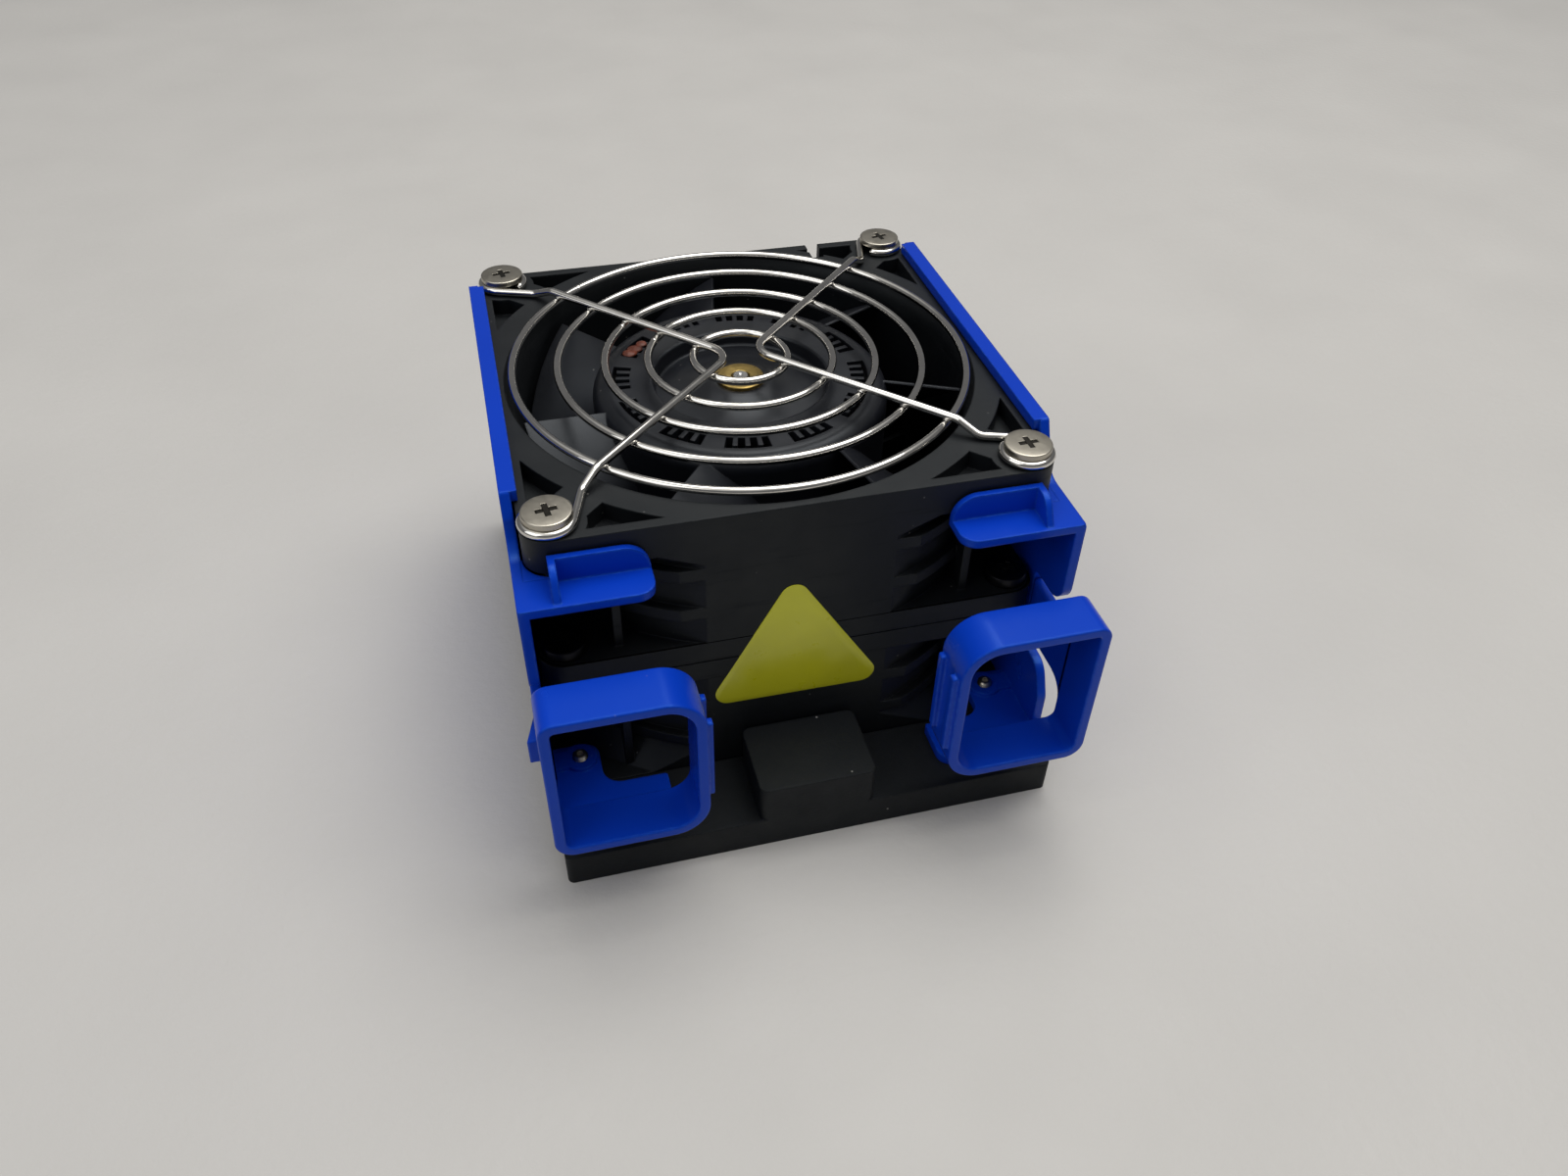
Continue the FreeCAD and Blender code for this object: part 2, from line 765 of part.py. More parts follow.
def guard_arm(apex, screw, turn_side):
    """Points of one arm from its joggle to where it touches the eye, and the eye round the screw.

    turn_side is 1 where the wire passes the screw on its left before it closes round it.
    """
    level = V(0, 0, dim("eye_level"))
    radius = dim("eye_radius")
    reach = dim("eye_reach")
    direction = (screw - V(apex.x, apex.y, 0)).normalize()
    bend = math.degrees(math.asin(radius / reach)) * turn_side
    towards_eye = FreeCAD.Rotation(UP, bend).multVec(direction)
    joggle_low = screw - direction * reach + level
    rise = V(0, 0, dim("arm_level") - dim("eye_level"))
    joggle_high = joggle_low - direction * dim("joggle_length") + rise
    touch = joggle_low + towards_eye * math.sqrt(reach ** 2 - radius ** 2)
    start_angle = math.degrees(math.atan2(touch.y - screw.y, touch.x - screw.x))
    end_angle = start_angle - dim("eye_angle") * turn_side
    eye = arc_about((screw.x, screw.y), radius, start_angle, end_angle).toShape()
    eye.translate(level)
    return [joggle_high, joggle_low, touch], eye


def guard_wire(label, apex, arms):
    """V-shaped wire: two arms joined by a tight bend, with an eye at each end."""
    apex = apex + V(0, 0, dim("arm_level"))
    (first, first_eye), (second, second_eye) = [
        guard_arm(apex, screw, turn_side) for screw, turn_side in arms]
    bends = [3.0, 3.0, dim("apex_bend"), 3.0, 3.0]
    arm_edges = rounded_path(first[::-1] + [apex] + second, bends)
    path = Part.Wire(Part.__sortEdges__([first_eye] + arm_edges + [second_eye]))
    first_edge = path.OrderedEdges[0]
    start = path.OrderedVertexes[0].Point
    at_start = (first_edge.valueAt(first_edge.FirstParameter) - start).Length < 1e-5
    direction = first_edge.tangentAt(
        first_edge.FirstParameter if at_start else first_edge.LastParameter)
    section = Part.Wire([Part.Circle(start, direction, dim("wire_radius")).toShape()])
    shape_node(label, facing_out(path.makePipeShell([section], True, False)))


def guard():
    hole = dim("hole_spacing") / 2
    guard_rings()
    guard_wire("guard_wire_left", V(-2.0, -1.1, 0), [(V(-hole, -hole, 0), 1), (V(-hole, hole, 0), 1)])
    guard_wire("guard_wire_right", V(2.1, -0.3, 0), [(V(hole, -hole, 0), -1), (V(hole, hole, 0), 1)])


def corner_places():
    return [(sign_x + "Sizes.hole_spacing / 2", sign_y + "Sizes.hole_spacing / 2")
            for sign_x in ("-", "") for sign_y in ("-", "")]


def screws(label, head_radius, head_low, head_high, shank_radius, shank_low, shank_high):
    """Four alike screws at the corners, each a head fused with its shank."""
    screws_made = []
    for x, y in corner_places():
        screws_made.append(fuse([cylinder(head_radius, head_low, head_high, x, y),
                                 cylinder(shank_radius, shank_low, shank_high, x, y)]))
    group(label, screws_made)


def all_screws():
    screws("guard_screws", "Sizes.guard_head_radius", "Sizes.guard_head_low",
           "Sizes.guard_head_high", "Sizes.screw_radius", "Sizes.guard_shank_low",
           "Sizes.guard_head_low + 0.2")
    seat = "Sizes.seam_level + Sizes.seam_flange"
    screws("joining_screws", "Sizes.joining_head_radius", seat,
           seat + " + Sizes.joining_head_height", "Sizes.screw_radius",
           "Sizes.joining_shank_low", seat + " + 0.2")
    underside = "Sizes.seam_level - Sizes.fan_depth"
    screws("carrier_screws", "Sizes.carrier_head_radius", "Sizes.carrier_head_low", underside,
           "Sizes.carrier_shank", underside + " - 0.2", "Sizes.carrier_shank_high")


# ---------------------------------------------------------------- carrier

def side_wall_corners():
    """Side wall seen from the side, with the slots above and below the latch arm."""
    back = dim("wall_outer")
    front = dim("shelf_front")
    rail_front = dim("rail_front")
    shelf = dim("shelf_top")
    upper_slot = dim("arm_high") + 2.5
    lower_slot = dim("arm_low") - 3.7
    drop = dim("rail_top") - dim("back_wall_top")
    return [(back, dim("wall_low")), (back, dim("back_wall_top"), 1.0),
            (dim("rail_back") + drop, dim("back_wall_top"), 2.0),
            (dim("rail_back"), dim("rail_top"), 1.0), (rail_front, dim("rail_top"), 0.6),
            (rail_front - 2.0, dim("rail_top") - 4.2, 2.0), (rail_front - 2.6, shelf, 5.0),
            (front, shelf, 0.8), (front, upper_slot, 4.0), (dim("slot_end"), upper_slot, 1.2),
            (dim("slot_end"), lower_slot, 1.8), (-50.6, lower_slot - 0.4, 4.0),
            (-53.5, lower_slot - 6.5, 4.0), (-53.5, dim("wall_low"))]


def carrier():
    """Blue moulding: back wall, side walls with lips, finger shelves and screw ears."""
    body = new_body("carrier")
    inner = dim("wall_inner")
    outer = dim("wall_outer")
    wall = "Sizes.wall_outer - Sizes.wall_inner"
    low = dim("wall_low")
    plug = dim("plug_place")
    back = rectangle(-outer, outer, low, dim("back_wall_top"), 0.8)
    back += rectangle(-30, 30, 32, 55, 4)
    back += rectangle(plug - dim("plug_half"), plug + dim("plug_half"),
                      dim("plug_low"), dim("plug_high"))
    pad(body, back, wall, "-Sizes.wall_outer", "XZ_Plane")
    for side in (-1, 1):
        start = "Sizes.wall_inner" if side == 1 else "-Sizes.wall_outer"
        pad(body, outline(side_wall_corners()), wall, start, "YZ_Plane")
        lip = rectangle(side * dim("lip_inner"), side * (inner + 0.2), dim("rail_front"),
                        dim("lip_back"))
        pad(body, lip, "Sizes.rail_top - Sizes.lip_low", "Sizes.lip_low")
        finger_shelf(body, side)
        screw_ears(body, side)
        socket = circle(dim("socket_radius"), side * (inner + outer) / 2, dim("hinge_place"))
        pocket(body, socket, "Sizes.arm_high - Sizes.arm_low + 0.6", "Sizes.arm_high + 0.3")


def finger_shelf(body, side):
    """Shelf in front of the upper fan, with a raised back and end that form a finger tray."""
    outer = dim("wall_outer")
    end = dim("tray_end")
    rib = dim("tray_rib")
    front = dim("shelf_front")
    back = dim("shelf_back")
    under = dim("shelf_top") - dim("shelf_wall")
    floor = mirrored([(end, back, 0.6), (end, front, 3.0), (outer, front, 0.8), (outer, back)], side)
    pad(body, outline(floor), "Sizes.shelf_wall", "Sizes.shelf_top - Sizes.shelf_wall")
    raised = mirrored([(end, under), (rib + dim("tray_wall"), under),
                       (rib + dim("tray_wall"), dim("tray_top")), (end, dim("tray_top"), 4.5)], side)
    pad(body, outline(raised), "Sizes.tray_wall", "-Sizes.shelf_back", "XZ_Plane")
    rib_profile = outline([(back, under), (back, dim("tray_top")), (back - 4.1, dim("tray_top"), 3.5),
                           (front + 0.8, dim("shelf_top"), 0.8), (front + 0.8, under)])
    rib_start = "Sizes.tray_rib" if side == 1 else "-Sizes.tray_rib - Sizes.tray_wall"
    pad(body, rib_profile, "Sizes.tray_wall", rib_start, "YZ_Plane")


def screw_ears(body, side):
    """Plates on the lower fan's flange: one under the finger loop and one in the back corner."""
    inner = dim("wall_inner")
    outer = dim("wall_outer")
    reach = dim("ear_reach")
    hole = dim("hole_spacing") / 2
    thick = "Sizes.plate_top - Sizes.wall_low"
    plate = [(dim("plate_end"), dim("plate_front"), 3.0), (outer, dim("plate_front"), 3.0),
             (outer, -reach), (reach, -reach, 3.0), (reach, dim("plate_back"), 3.5),
             (dim("plate_end"), dim("plate_back"), 0.6)]
    pad(body, outline(mirrored(plate, side)), thick, "Sizes.wall_low")
    back_ear = [(reach, outer - 1), (reach, reach, 3.0), (outer - 1, reach), (outer - 1, outer - 1)]
    pad(body, outline(mirrored(back_ear, side)), thick, "Sizes.wall_low")
    boss_height = "Sizes.boss_top - Sizes.plate_top"
    for row in (-hole, hole):
        pad(body, circle(3.2, side * hole, row), boss_height, "Sizes.plate_top")
        pocket(body, circle(dim("carrier_shank"), side * hole, row), "4", "Sizes.boss_top + 0.5")
    stiffener = rectangle(side * (hole + 2.2), side * (inner + 0.2), -hole - 2.2, -hole + 2.2)
    pad(body, stiffener, boss_height, "Sizes.plate_top")


# ---------------------------------------------------------------- latches

def latch(label, side):
    """Squeeze handle: a finger loop on a springy arm with a catch wedge on its outer face."""
    body = new_body(label)
    inner = dim("wall_inner")
    outer = dim("wall_outer")
    hinge = dim("hinge_place")
    arm_height = "Sizes.arm_high - Sizes.arm_low"
    loop_edge = dim("loop_back") - 1.5
    pad(body, rectangle(side * inner, side * outer, hinge, loop_edge), arm_height, "Sizes.arm_low")
    pad(body, circle(dim("hinge_radius"), side * (inner + outer) / 2, hinge), arm_height,
        "Sizes.arm_low")
    low = dim("loop_low")
    high = dim("loop_high")
    end = dim("loop_end")
    wall = dim("loop_wall")
    radii = (6.5, 3.5, 2.5, 7.0)
    loop = outline(mirrored([(end, low, radii[0]), (outer, low, radii[1]),
                             (outer, high, radii[2]), (end, high, radii[3])], side))
    inner_radii = [max(radius - wall, 0.9) for radius in radii]
    loop += outline(mirrored([(end + wall, low + wall, inner_radii[0]),
                              (outer - wall, low + wall, inner_radii[1]),
                              (outer - wall, high - wall, inner_radii[2]),
                              (end + wall, high - wall, inner_radii[3])], side))
    pad(body, loop, "Sizes.loop_back - Sizes.loop_front", "-Sizes.loop_back", "XZ_Plane")
    wedge = [(outer - 0.4, dim("wedge_start")), (outer, dim("wedge_start")),
             (dim("wedge_reach"), dim("wedge_catch")), (outer - 0.4, dim("wedge_catch"))]
    pad(body, outline(mirrored(wedge, side)), "Sizes.wedge_high - Sizes.wedge_low",
        "Sizes.wedge_low")
    for row in (-61.6, -67.1):
        grip = rectangle(side * dim("grip_end"), side * (end + 0.4), row - 0.8, row + 0.8, 0.3)
        pad(body, grip, "Sizes.grip_high - Sizes.grip_low", "Sizes.grip_low")


# ---------------------------------------------------------------- gasket

def gasket():
    """Rubber base round the outlet, with a thick front and a raised bumper block."""
    body = new_body("gasket")
    half = dim("gasket_half")
    front = dim("gasket_front")
    fan_half = dim("fan_side") / 2 + dim("gasket_fit")
    pad(body, rectangle(-half, half, front, half, dim("gasket_edge")), "Sizes.gasket_top")
    block = rectangle(-dim("block_half"), dim("block_half"), front, dim("block_back"), 1.6)
    pad(body, block, "Sizes.block_top - 1", "1")
    fan_room = rectangle(-fan_half, fan_half, -fan_half, fan_half, dim("fan_corner"))
    pocket(body, fan_room, "Sizes.gasket_top - Sizes.gasket_floor", "Sizes.gasket_top")
    pocket(body, circle(dim("gasket_hole")), "Sizes.gasket_floor + 1", "Sizes.gasket_floor + 0.5")
    pocket(body, corner_circles(dim("carrier_head_radius") + 0.4), "Sizes.gasket_floor + 1",
           "Sizes.gasket_floor + 0.5")


# ---------------------------------------------------------------- connector and leads

def connector():
    """Blind-mate connector in the back wall: housing with a flange, and eight contacts."""
    body = new_body("connector_housing")
    place = dim("plug_place")
    half = dim("plug_half")
    low = dim("plug_low")
    high = dim("plug_high")
    front = dim("wall_inner")
    back = dim("plug_back")
    gap = 0.1
    shell = rectangle(place - half + gap, place + half - gap, low + gap, high - gap)
    pad(body, shell, "Sizes.plug_back - Sizes.wall_inner", "-Sizes.plug_back", "XZ_Plane")
    flange = rectangle(place - half - 3, place + half + 3, low - 2, high + 2, 2)
    pad(body, flange, "Sizes.plug_flange", "-Sizes.wall_outer - Sizes.plug_flange", "XZ_Plane")
    socket = rectangle(place - half + 1.6, place + half - 1.6, low + 1.6, high - 1.6, 0.6)
    pocket(body, socket, "Sizes.plug_depth + 1", "-Sizes.plug_back + Sizes.plug_depth", "XZ_Plane")
    contacts = []
    contact_length = back - front - dim("contact_back")
    for column in (-7.5, -2.5, 2.5, 7.5):
        for line in (-2.0, 2.0):
            corner = V(place + column - 0.8, front + 1.5, (low + high) / 2 + line - 0.35)
            contacts.append(Part.makeBox(1.6, contact_length, 0.7, corner))
    shape_node("connector_contacts", Part.makeCompound(contacts))


def leads(section):
    """Sleeved leads from the circuit board, along the wide strut and down the back notch."""
    row = dim(section + "_lead_row")
    x = dim("lead_place")
    sign = back_side(section)
    radius = dim("lead_radius")
    level = dim("seam_level") + sign * dim("lead_channel") / 2
    exit_level = dim("plug_high") - 3.6 if section == "upper" else dim("plug_low") + 3.6
    along = V(x, row, 0).normalize()
    points = [along * dim("board_radius") + V(0, 0, level), V(x, row, level), V(x, row, exit_level),
              V(x, dim("wall_inner") - 0.05, exit_level)]
    bend = min(2.2, dim("wall_inner") - row - 0.4)
    shape_node(section + "_leads", tube_along(rounded_path(points, [2.2, bend]), radius))


# ---------------------------------------------------------------- build, check and write

for name in ("upper", "lower"):
    fan_frame(name)
    impeller(name)
    rotor_parts(name)
    stator_parts(name)
    leads(name)
guard()
all_screws()
carrier()
latch("left_latch", -1)
latch("right_latch", 1)
gasket()
connector()
document.recompute()


def check_document():
    """Stop at any failed object, any cut that removes nothing and any unusable shape."""
    faults = []
    for item in document.Objects:
        if "Invalid" in item.State or "Error" in item.State:
            faults.append("%s (%s): %s" % (item.Name, item.Label, item.State))
        if item.TypeId in ("PartDesign::Pocket", "PartDesign::Groove"):
            removed = item.BaseFeature.Shape.Volume - item.Shape.Volume
            if removed < 0.01:
                faults.append("%s in %s removes nothing" % (item.Name, item.getParent().Label))
    for node in nodes:
        if node.Shape.isNull() or not node.Shape.isValid():
            faults.append("%s has no valid shape" % node.Label)
    if faults:
        raise RuntimeError("\n".join(faults))


check_document()
os.makedirs("parts", exist_ok=True)
for node in nodes:
    node.Shape.exportStep("parts/%s.step" % node.Label)
    print("%-22s %8.1f mm3  %d solids  %d faces" % (
        node.Label, node.Shape.Volume, len(node.Shape.Solids), len(node.Shape.Faces)))
print(len(nodes), "nodes")
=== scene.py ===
"""Looks of the server fan module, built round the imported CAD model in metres.

Shapes are written in millimetres and scaled once, where their mesh is made.
"""

import bmesh
import bpy
import json
import math
from mathutils import Matrix, Vector

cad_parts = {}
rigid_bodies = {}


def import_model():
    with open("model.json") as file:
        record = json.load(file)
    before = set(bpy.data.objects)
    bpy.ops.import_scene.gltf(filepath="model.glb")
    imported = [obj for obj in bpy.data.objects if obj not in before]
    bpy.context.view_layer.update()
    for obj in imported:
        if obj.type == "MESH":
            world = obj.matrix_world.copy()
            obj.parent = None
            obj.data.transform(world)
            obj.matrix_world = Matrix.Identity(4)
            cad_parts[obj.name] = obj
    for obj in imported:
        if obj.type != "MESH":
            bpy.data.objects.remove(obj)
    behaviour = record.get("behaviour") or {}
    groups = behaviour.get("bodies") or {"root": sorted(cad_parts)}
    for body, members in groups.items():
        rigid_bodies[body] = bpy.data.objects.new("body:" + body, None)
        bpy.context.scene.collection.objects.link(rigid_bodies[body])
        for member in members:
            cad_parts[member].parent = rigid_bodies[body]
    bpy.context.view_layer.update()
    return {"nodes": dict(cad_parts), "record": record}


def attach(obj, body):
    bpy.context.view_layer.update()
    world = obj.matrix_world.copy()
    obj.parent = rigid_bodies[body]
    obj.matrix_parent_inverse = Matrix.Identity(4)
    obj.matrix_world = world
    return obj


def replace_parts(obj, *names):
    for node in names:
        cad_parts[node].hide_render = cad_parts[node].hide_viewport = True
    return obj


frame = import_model()
nodes = frame["nodes"]

MM = 0.001
UP = Vector((0, 0, 1))
SHARP = 35              # degrees: a steeper edge is shaded sharp
CAD_SHARP = 30          # the same, on the solids that are kept
SIDES = {"left": -1, "right": 1}

HOLE = 41.25            # screw centres from the fan axis, along x and y
CORNERS = [(x, y) for y in (-HOLE, HOLE) for x in (-HOLE, HOLE)]
FAN_HALF = 46.0         # half the side of the fan frames
SEAM = 34.2             # level where the two fans meet
FLANGE = 4.4            # height of each fan's flange at the seam


# ---------------------------------------------------------------- mesh helpers

def linked(name, data):
    """New object for some data, put into the scene."""
    made = bpy.data.objects.new(name, data)
    bpy.context.scene.collection.objects.link(made)
    return made


def mesh_from(name, shape):
    """Mesh from a shape, which is a pair of points in millimetres and faces."""
    verts, faces = shape
    mesh = bpy.data.meshes.new(name)
    mesh.from_pydata([Vector(point) * MM for point in verts], [], faces)
    mesh.validate()
    return mesh


def shade(mesh, sharp=SHARP):
    mesh.shade_smooth()
    mesh.set_sharp_from_angle(angle=math.radians(sharp))


def finish_piece(name, mesh, body, material, sharp=SHARP):
    """Object for a mesh, with its material and body."""
    piece = linked(name, mesh)
    mesh.materials.append(MATERIALS[material])
    shade(mesh, sharp)
    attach(piece, body)
    return piece


def piece_from(name, shape, body, slot, material=None):
    """New piece from a shape; its material is the slot's unless another is named."""
    return finish_piece(name, mesh_from(name, shape), body, material or slot)


def apply_modifiers(piece):
    bpy.context.view_layer.update()
    evaluated = piece.evaluated_get(bpy.context.evaluated_depsgraph_get())
    result = bpy.data.meshes.new_from_object(evaluated)
    piece.modifiers.clear()
    piece.data = result


def lathe(profile, segments=48, centre=(0, 0), closed=False):
    """Surface of revolution about an upright axis: points and faces from (radius, z) pairs."""
    verts, faces, rows = [], [], []
    for radius, z in profile:
        if radius == 0:
            rows.append([len(verts)])
            verts.append((centre[0], centre[1], z))
            continue
        rows.append(list(range(len(verts), len(verts) + segments)))
        for step in range(segments):
            turn = 2 * math.pi * step / segments
            verts.append((centre[0] + radius * math.cos(turn),
                          centre[1] + radius * math.sin(turn), z))
    pairs = list(zip(rows, rows[1:]))
    if closed:
        pairs.append((rows[-1], rows[0]))
    for lower, upper in pairs:
        for step in range(segments):
            following = (step + 1) % segments
            if len(lower) == 1:
                faces.append((lower[0], upper[following], upper[step]))
            elif len(upper) == 1:
                faces.append((lower[step], lower[following], upper[0]))
            else:
                faces.append((lower[step], lower[following], upper[following], upper[step]))
    return verts, faces


def sweep(path, radius, sides=16, closed=False):
    """Round bar along a path of points, with a domed cap at each open end."""
    points = [Vector(point) for point in path]
    count = len(points)
    tangents = []
    for index in range(count):
        before = points[index - 1] if closed or index else points[0]
        after = points[(index + 1) % count] if closed or index < count - 1 else points[-1]
        tangents.append((after - before).normalized())
    nearly_upright = abs(tangents[0].z) >= 0.9
    across = tangents[0].cross(Vector((1, 0, 0)) if nearly_upright else UP).normalized()
    frames = []
    for index in range(count):
        if index:
            turn = tangents[index - 1].rotation_difference(tangents[index])
            across = turn @ across
        frames.append((across.copy(), tangents[index].cross(across)))
    rows = [(points[i], radius, frames[i]) for i in range(count)]
    if not closed:
        dome = ((0.97, 0.25), (0.75, 0.66), (0.4, 0.92))
        start = [(points[0] - tangents[0] * radius * out, radius * size, frames[0])
                 for size, out in reversed(dome)]
        end = [(points[-1] + tangents[-1] * radius * out, radius * size, frames[-1])
               for size, out in dome]
        rows = start + rows + end
    verts, faces = [], []
    for centre, size, (side, lift) in rows:
        for step in range(sides):
            turn = 2 * math.pi * step / sides
            verts.append(centre + (side * math.cos(turn) + lift * math.sin(turn)) * size)
    last = len(rows) if closed else len(rows) - 1
    for row in range(last):
        following = (row + 1) % len(rows)
        for step in range(sides):
            beside = (step + 1) % sides
            faces.append((row * sides + step, row * sides + beside,
                          following * sides + beside, following * sides + step))
    if not closed:
        faces.append(tuple(range(sides))[::-1])
        faces.append(tuple(range((len(rows) - 1) * sides, len(rows) * sides)))
    return verts, faces


def blob(centre, size, phase=0.0):
    """Small rounded lump with slightly uneven sides."""
    verts, faces = lathe([(0, -1), (0.5, -0.86), (0.87, -0.5), (1, 0), (0.87, 0.5), (0.5, 0.86),
                          (0, 1)], 10)
    lump = []
    for x, y, z in verts:
        swell = 1 + 0.08 * math.sin(5 * x + 3 * z + phase) * math.cos(4 * y + phase)
        lump.append((centre[0] + x * size[0] * swell, centre[1] + y * size[1] * swell,
                     centre[2] + z * size[2]))
    return lump, faces


def prism_faces(count):
    """Faces between an outline of so many points and its copy, listed after it."""
    faces = [tuple(range(count)), tuple(range(count, 2 * count))[::-1]]
    faces += [(i, i + count, (i + 1) % count + count, (i + 1) % count) for i in range(count)]
    return faces


def joined(parts):
    """Several shapes as one."""
    verts, faces = [], []
    for part_verts, part_faces in parts:
        base = len(verts)
        verts += list(part_verts)
        faces += [tuple(index + base for index in face) for face in part_faces]
    return verts, faces


def carve(piece, shape, name):
    """Takes a closed shape out of a piece's mesh."""
    cutter = linked(name, mesh_from(name, shape))
    cutter.parent = piece.parent
    modifier = piece.modifiers.new("recess", "BOOLEAN")
    modifier.operation = "DIFFERENCE"
    modifier.solver = "EXACT"
    modifier.object = cutter
    apply_modifiers(piece)
    bpy.data.objects.remove(cutter)
    shade(piece.data)


# ---------------------------------------------------------------- paths

def arc_points(centre, radius, start, sweep_angle, level, steps):
    return [Vector((centre[0] + radius * math.cos(math.radians(start + sweep_angle * t / steps)),
                    centre[1] + radius * math.sin(math.radians(start + sweep_angle * t / steps)),
                    level)) for t in range(steps + 1)]


def between(first, last, share):
    """A radius turned part of the way from one to another of the same length."""
    axis = first.cross(last)
    if axis.length < 1e-6:
        return first
    return Matrix.Rotation(first.angle(last) * share, 3, axis.normalized()) @ first


def corner_arc(previous, corner, following, radius, steps=8):
    """Points of the arc that rounds a corner between its neighbours."""
    before = (previous - corner).normalized()
    after = (following - corner).normalized()
    half = before.angle(after) / 2
    setback = radius / math.tan(half)
    centre = corner + (before + after).normalized() * (radius / math.sin(half))
    first = corner + before * setback - centre
    last = corner + after * setback - centre
    return [centre + between(first, last, step / steps) for step in range(steps + 1)]


def rounded(points, radii):
    """Points of a path whose inner corners are arcs of the given radii."""
    path = [points[0]]
    for index, radius in enumerate(radii, 1):
        path += corner_arc(points[index - 1], points[index], points[index + 1], radius)
    return path + [points[-1]]


def rounded_outline(corners, radius):
    """Points of a closed flat outline with rounded corners."""
    flat = [Vector((*corner, 0)) for corner in corners]
    path = []
    for index, corner in enumerate(flat):
        path += corner_arc(flat[index - 1], corner, flat[(index + 1) % len(flat)], radius)
    return path


# ---------------------------------------------------------------- material nodes

DUST_COLOUR = (0.32, 0.31, 0.29)
SPECK_COLOUR = (0.4, 0.39, 0.37)
WEAR_GRAIN = 900        # noise scales, per metre
STREAK_GRAIN = 260
DUST_CLOUDS = 120
SPECK_CELLS = 420
SPECK_AREAS = 300


def node(tree, kind, **settings):
    made = tree.nodes.new(kind)
    for key, value in settings.items():
        setattr(made, key, value)
    return made


def noise(tree, place, scale, detail=3.0, stretch=None):
    """Noise whose scale is in patches per metre."""
    if stretch:
        mapping = node(tree, "ShaderNodeMapping")
        mapping.inputs["Scale"].default_value = stretch
        tree.links.new(place, mapping.inputs["Vector"])
        place = mapping.outputs["Vector"]
    made = node(tree, "ShaderNodeTexNoise")
    made.inputs["Scale"].default_value = scale
    made.inputs["Detail"].default_value = detail
    tree.links.new(place, made.inputs["Vector"])
    return made.outputs["Fac"]


def spread(tree, value, low_in, high_in, low_out=0, high_out=1):
    """Value stretched from one range to another, and held at its ends."""
    made = node(tree, "ShaderNodeMapRange")
    made.inputs["From Min"].default_value = low_in
    made.inputs["From Max"].default_value = high_in
    made.inputs["To Min"].default_value = low_out
    made.inputs["To Max"].default_value = high_out
    tree.links.new(value, made.inputs["Value"])
    return made.outputs["Result"]


def arithmetic(tree, operation, first, second):
    made = node(tree, "ShaderNodeMath", operation=operation)
    for socket, value in zip(made.inputs, (first, second)):
        if isinstance(value, (int, float)):
            socket.default_value = value
        else:
            tree.links.new(value, socket)
    return made.outputs["Value"]


def product(tree, first, second, third):
    return arithmetic(tree, "MULTIPLY", arithmetic(tree, "MULTIPLY", first, second), third)


def blended(tree, amount, first, second):
    """Colour mix; first and second are colours or sockets."""
    made = node(tree, "ShaderNodeMix", data_type="RGBA")
    tree.links.new(amount, made.inputs["Factor"])
    for socket, value in ((made.inputs[6], first), (made.inputs[7], second)):
        if isinstance(value, tuple):
            socket.default_value = (*value, 1)
        else:
            tree.links.new(value, socket)
    return made.outputs[2]


def bump(tree, height, depth, normal):
    """Normal disturbed by a height socket, by a depth in millimetres."""
    made = node(tree, "ShaderNodeBump")
    made.inputs["Strength"].default_value = 1
    made.inputs["Distance"].default_value = depth * MM
    tree.links.new(height, made.inputs["Height"])
    tree.links.new(normal, made.inputs["Normal"])
    return made.outputs["Normal"]


def times(colour, factor):
    return tuple(min(channel * factor, 1.0) for channel in colour)


def edge_wear(tree, place, bevel, amount):
    """Broken mask along edges, where the bevelled normal leaves the flat one."""
    geometry = node(tree, "ShaderNodeNewGeometry")
    alike = node(tree, "ShaderNodeVectorMath", operation="DOT_PRODUCT")
    tree.links.new(bevel, alike.inputs[0])
    tree.links.new(geometry.outputs["True Normal"], alike.inputs[1])
    edge = spread(tree, alike.outputs["Value"], 0.99, 0.86)
    broken = spread(tree, noise(tree, place, WEAR_GRAIN, 4), 0.42, 0.6)
    return product(tree, edge, broken, amount)


def settled_dust(tree, place, amount):
    """Cloudy mask, strongest on what faces up."""
    geometry = node(tree, "ShaderNodeNewGeometry")
    split = node(tree, "ShaderNodeSeparateXYZ")
    tree.links.new(geometry.outputs["Normal"], split.inputs[0])
    facing_up = spread(tree, split.outputs["Z"], 0.2, 0.95, 0.12, 1)
    clouds = spread(tree, noise(tree, place, DUST_CLOUDS, 6), 0.35, 0.75)
    return product(tree, facing_up, clouds, amount)


def stray_specks(tree, place, amount):
    """Mask of small dots in a few areas."""
    cells = node(tree, "ShaderNodeTexVoronoi")
    cells.inputs["Scale"].default_value = SPECK_CELLS
    tree.links.new(place, cells.inputs["Vector"])
    spot = spread(tree, cells.outputs["Distance"], 0.05, 0.1, 1, 0)
    rare = spread(tree, noise(tree, place, SPECK_AREAS, 2), 0.6, 0.64)
    return product(tree, spot, rare, amount)


def layered_bands(tree, place, axis, per_metre):
    """Fine parallel bands along an axis, or rings about the upright one."""
    if axis == "RINGS":
        wave = node(tree, "ShaderNodeTexWave", wave_type="RINGS", rings_direction="Z")
    else:
        wave = node(tree, "ShaderNodeTexWave", wave_type="BANDS", bands_direction=axis)
    wave.inputs["Scale"].default_value = per_metre / 20
    wave.inputs["Distortion"].default_value = 0.4
    tree.links.new(place, wave.inputs["Vector"])
    return wave.outputs["Fac"]


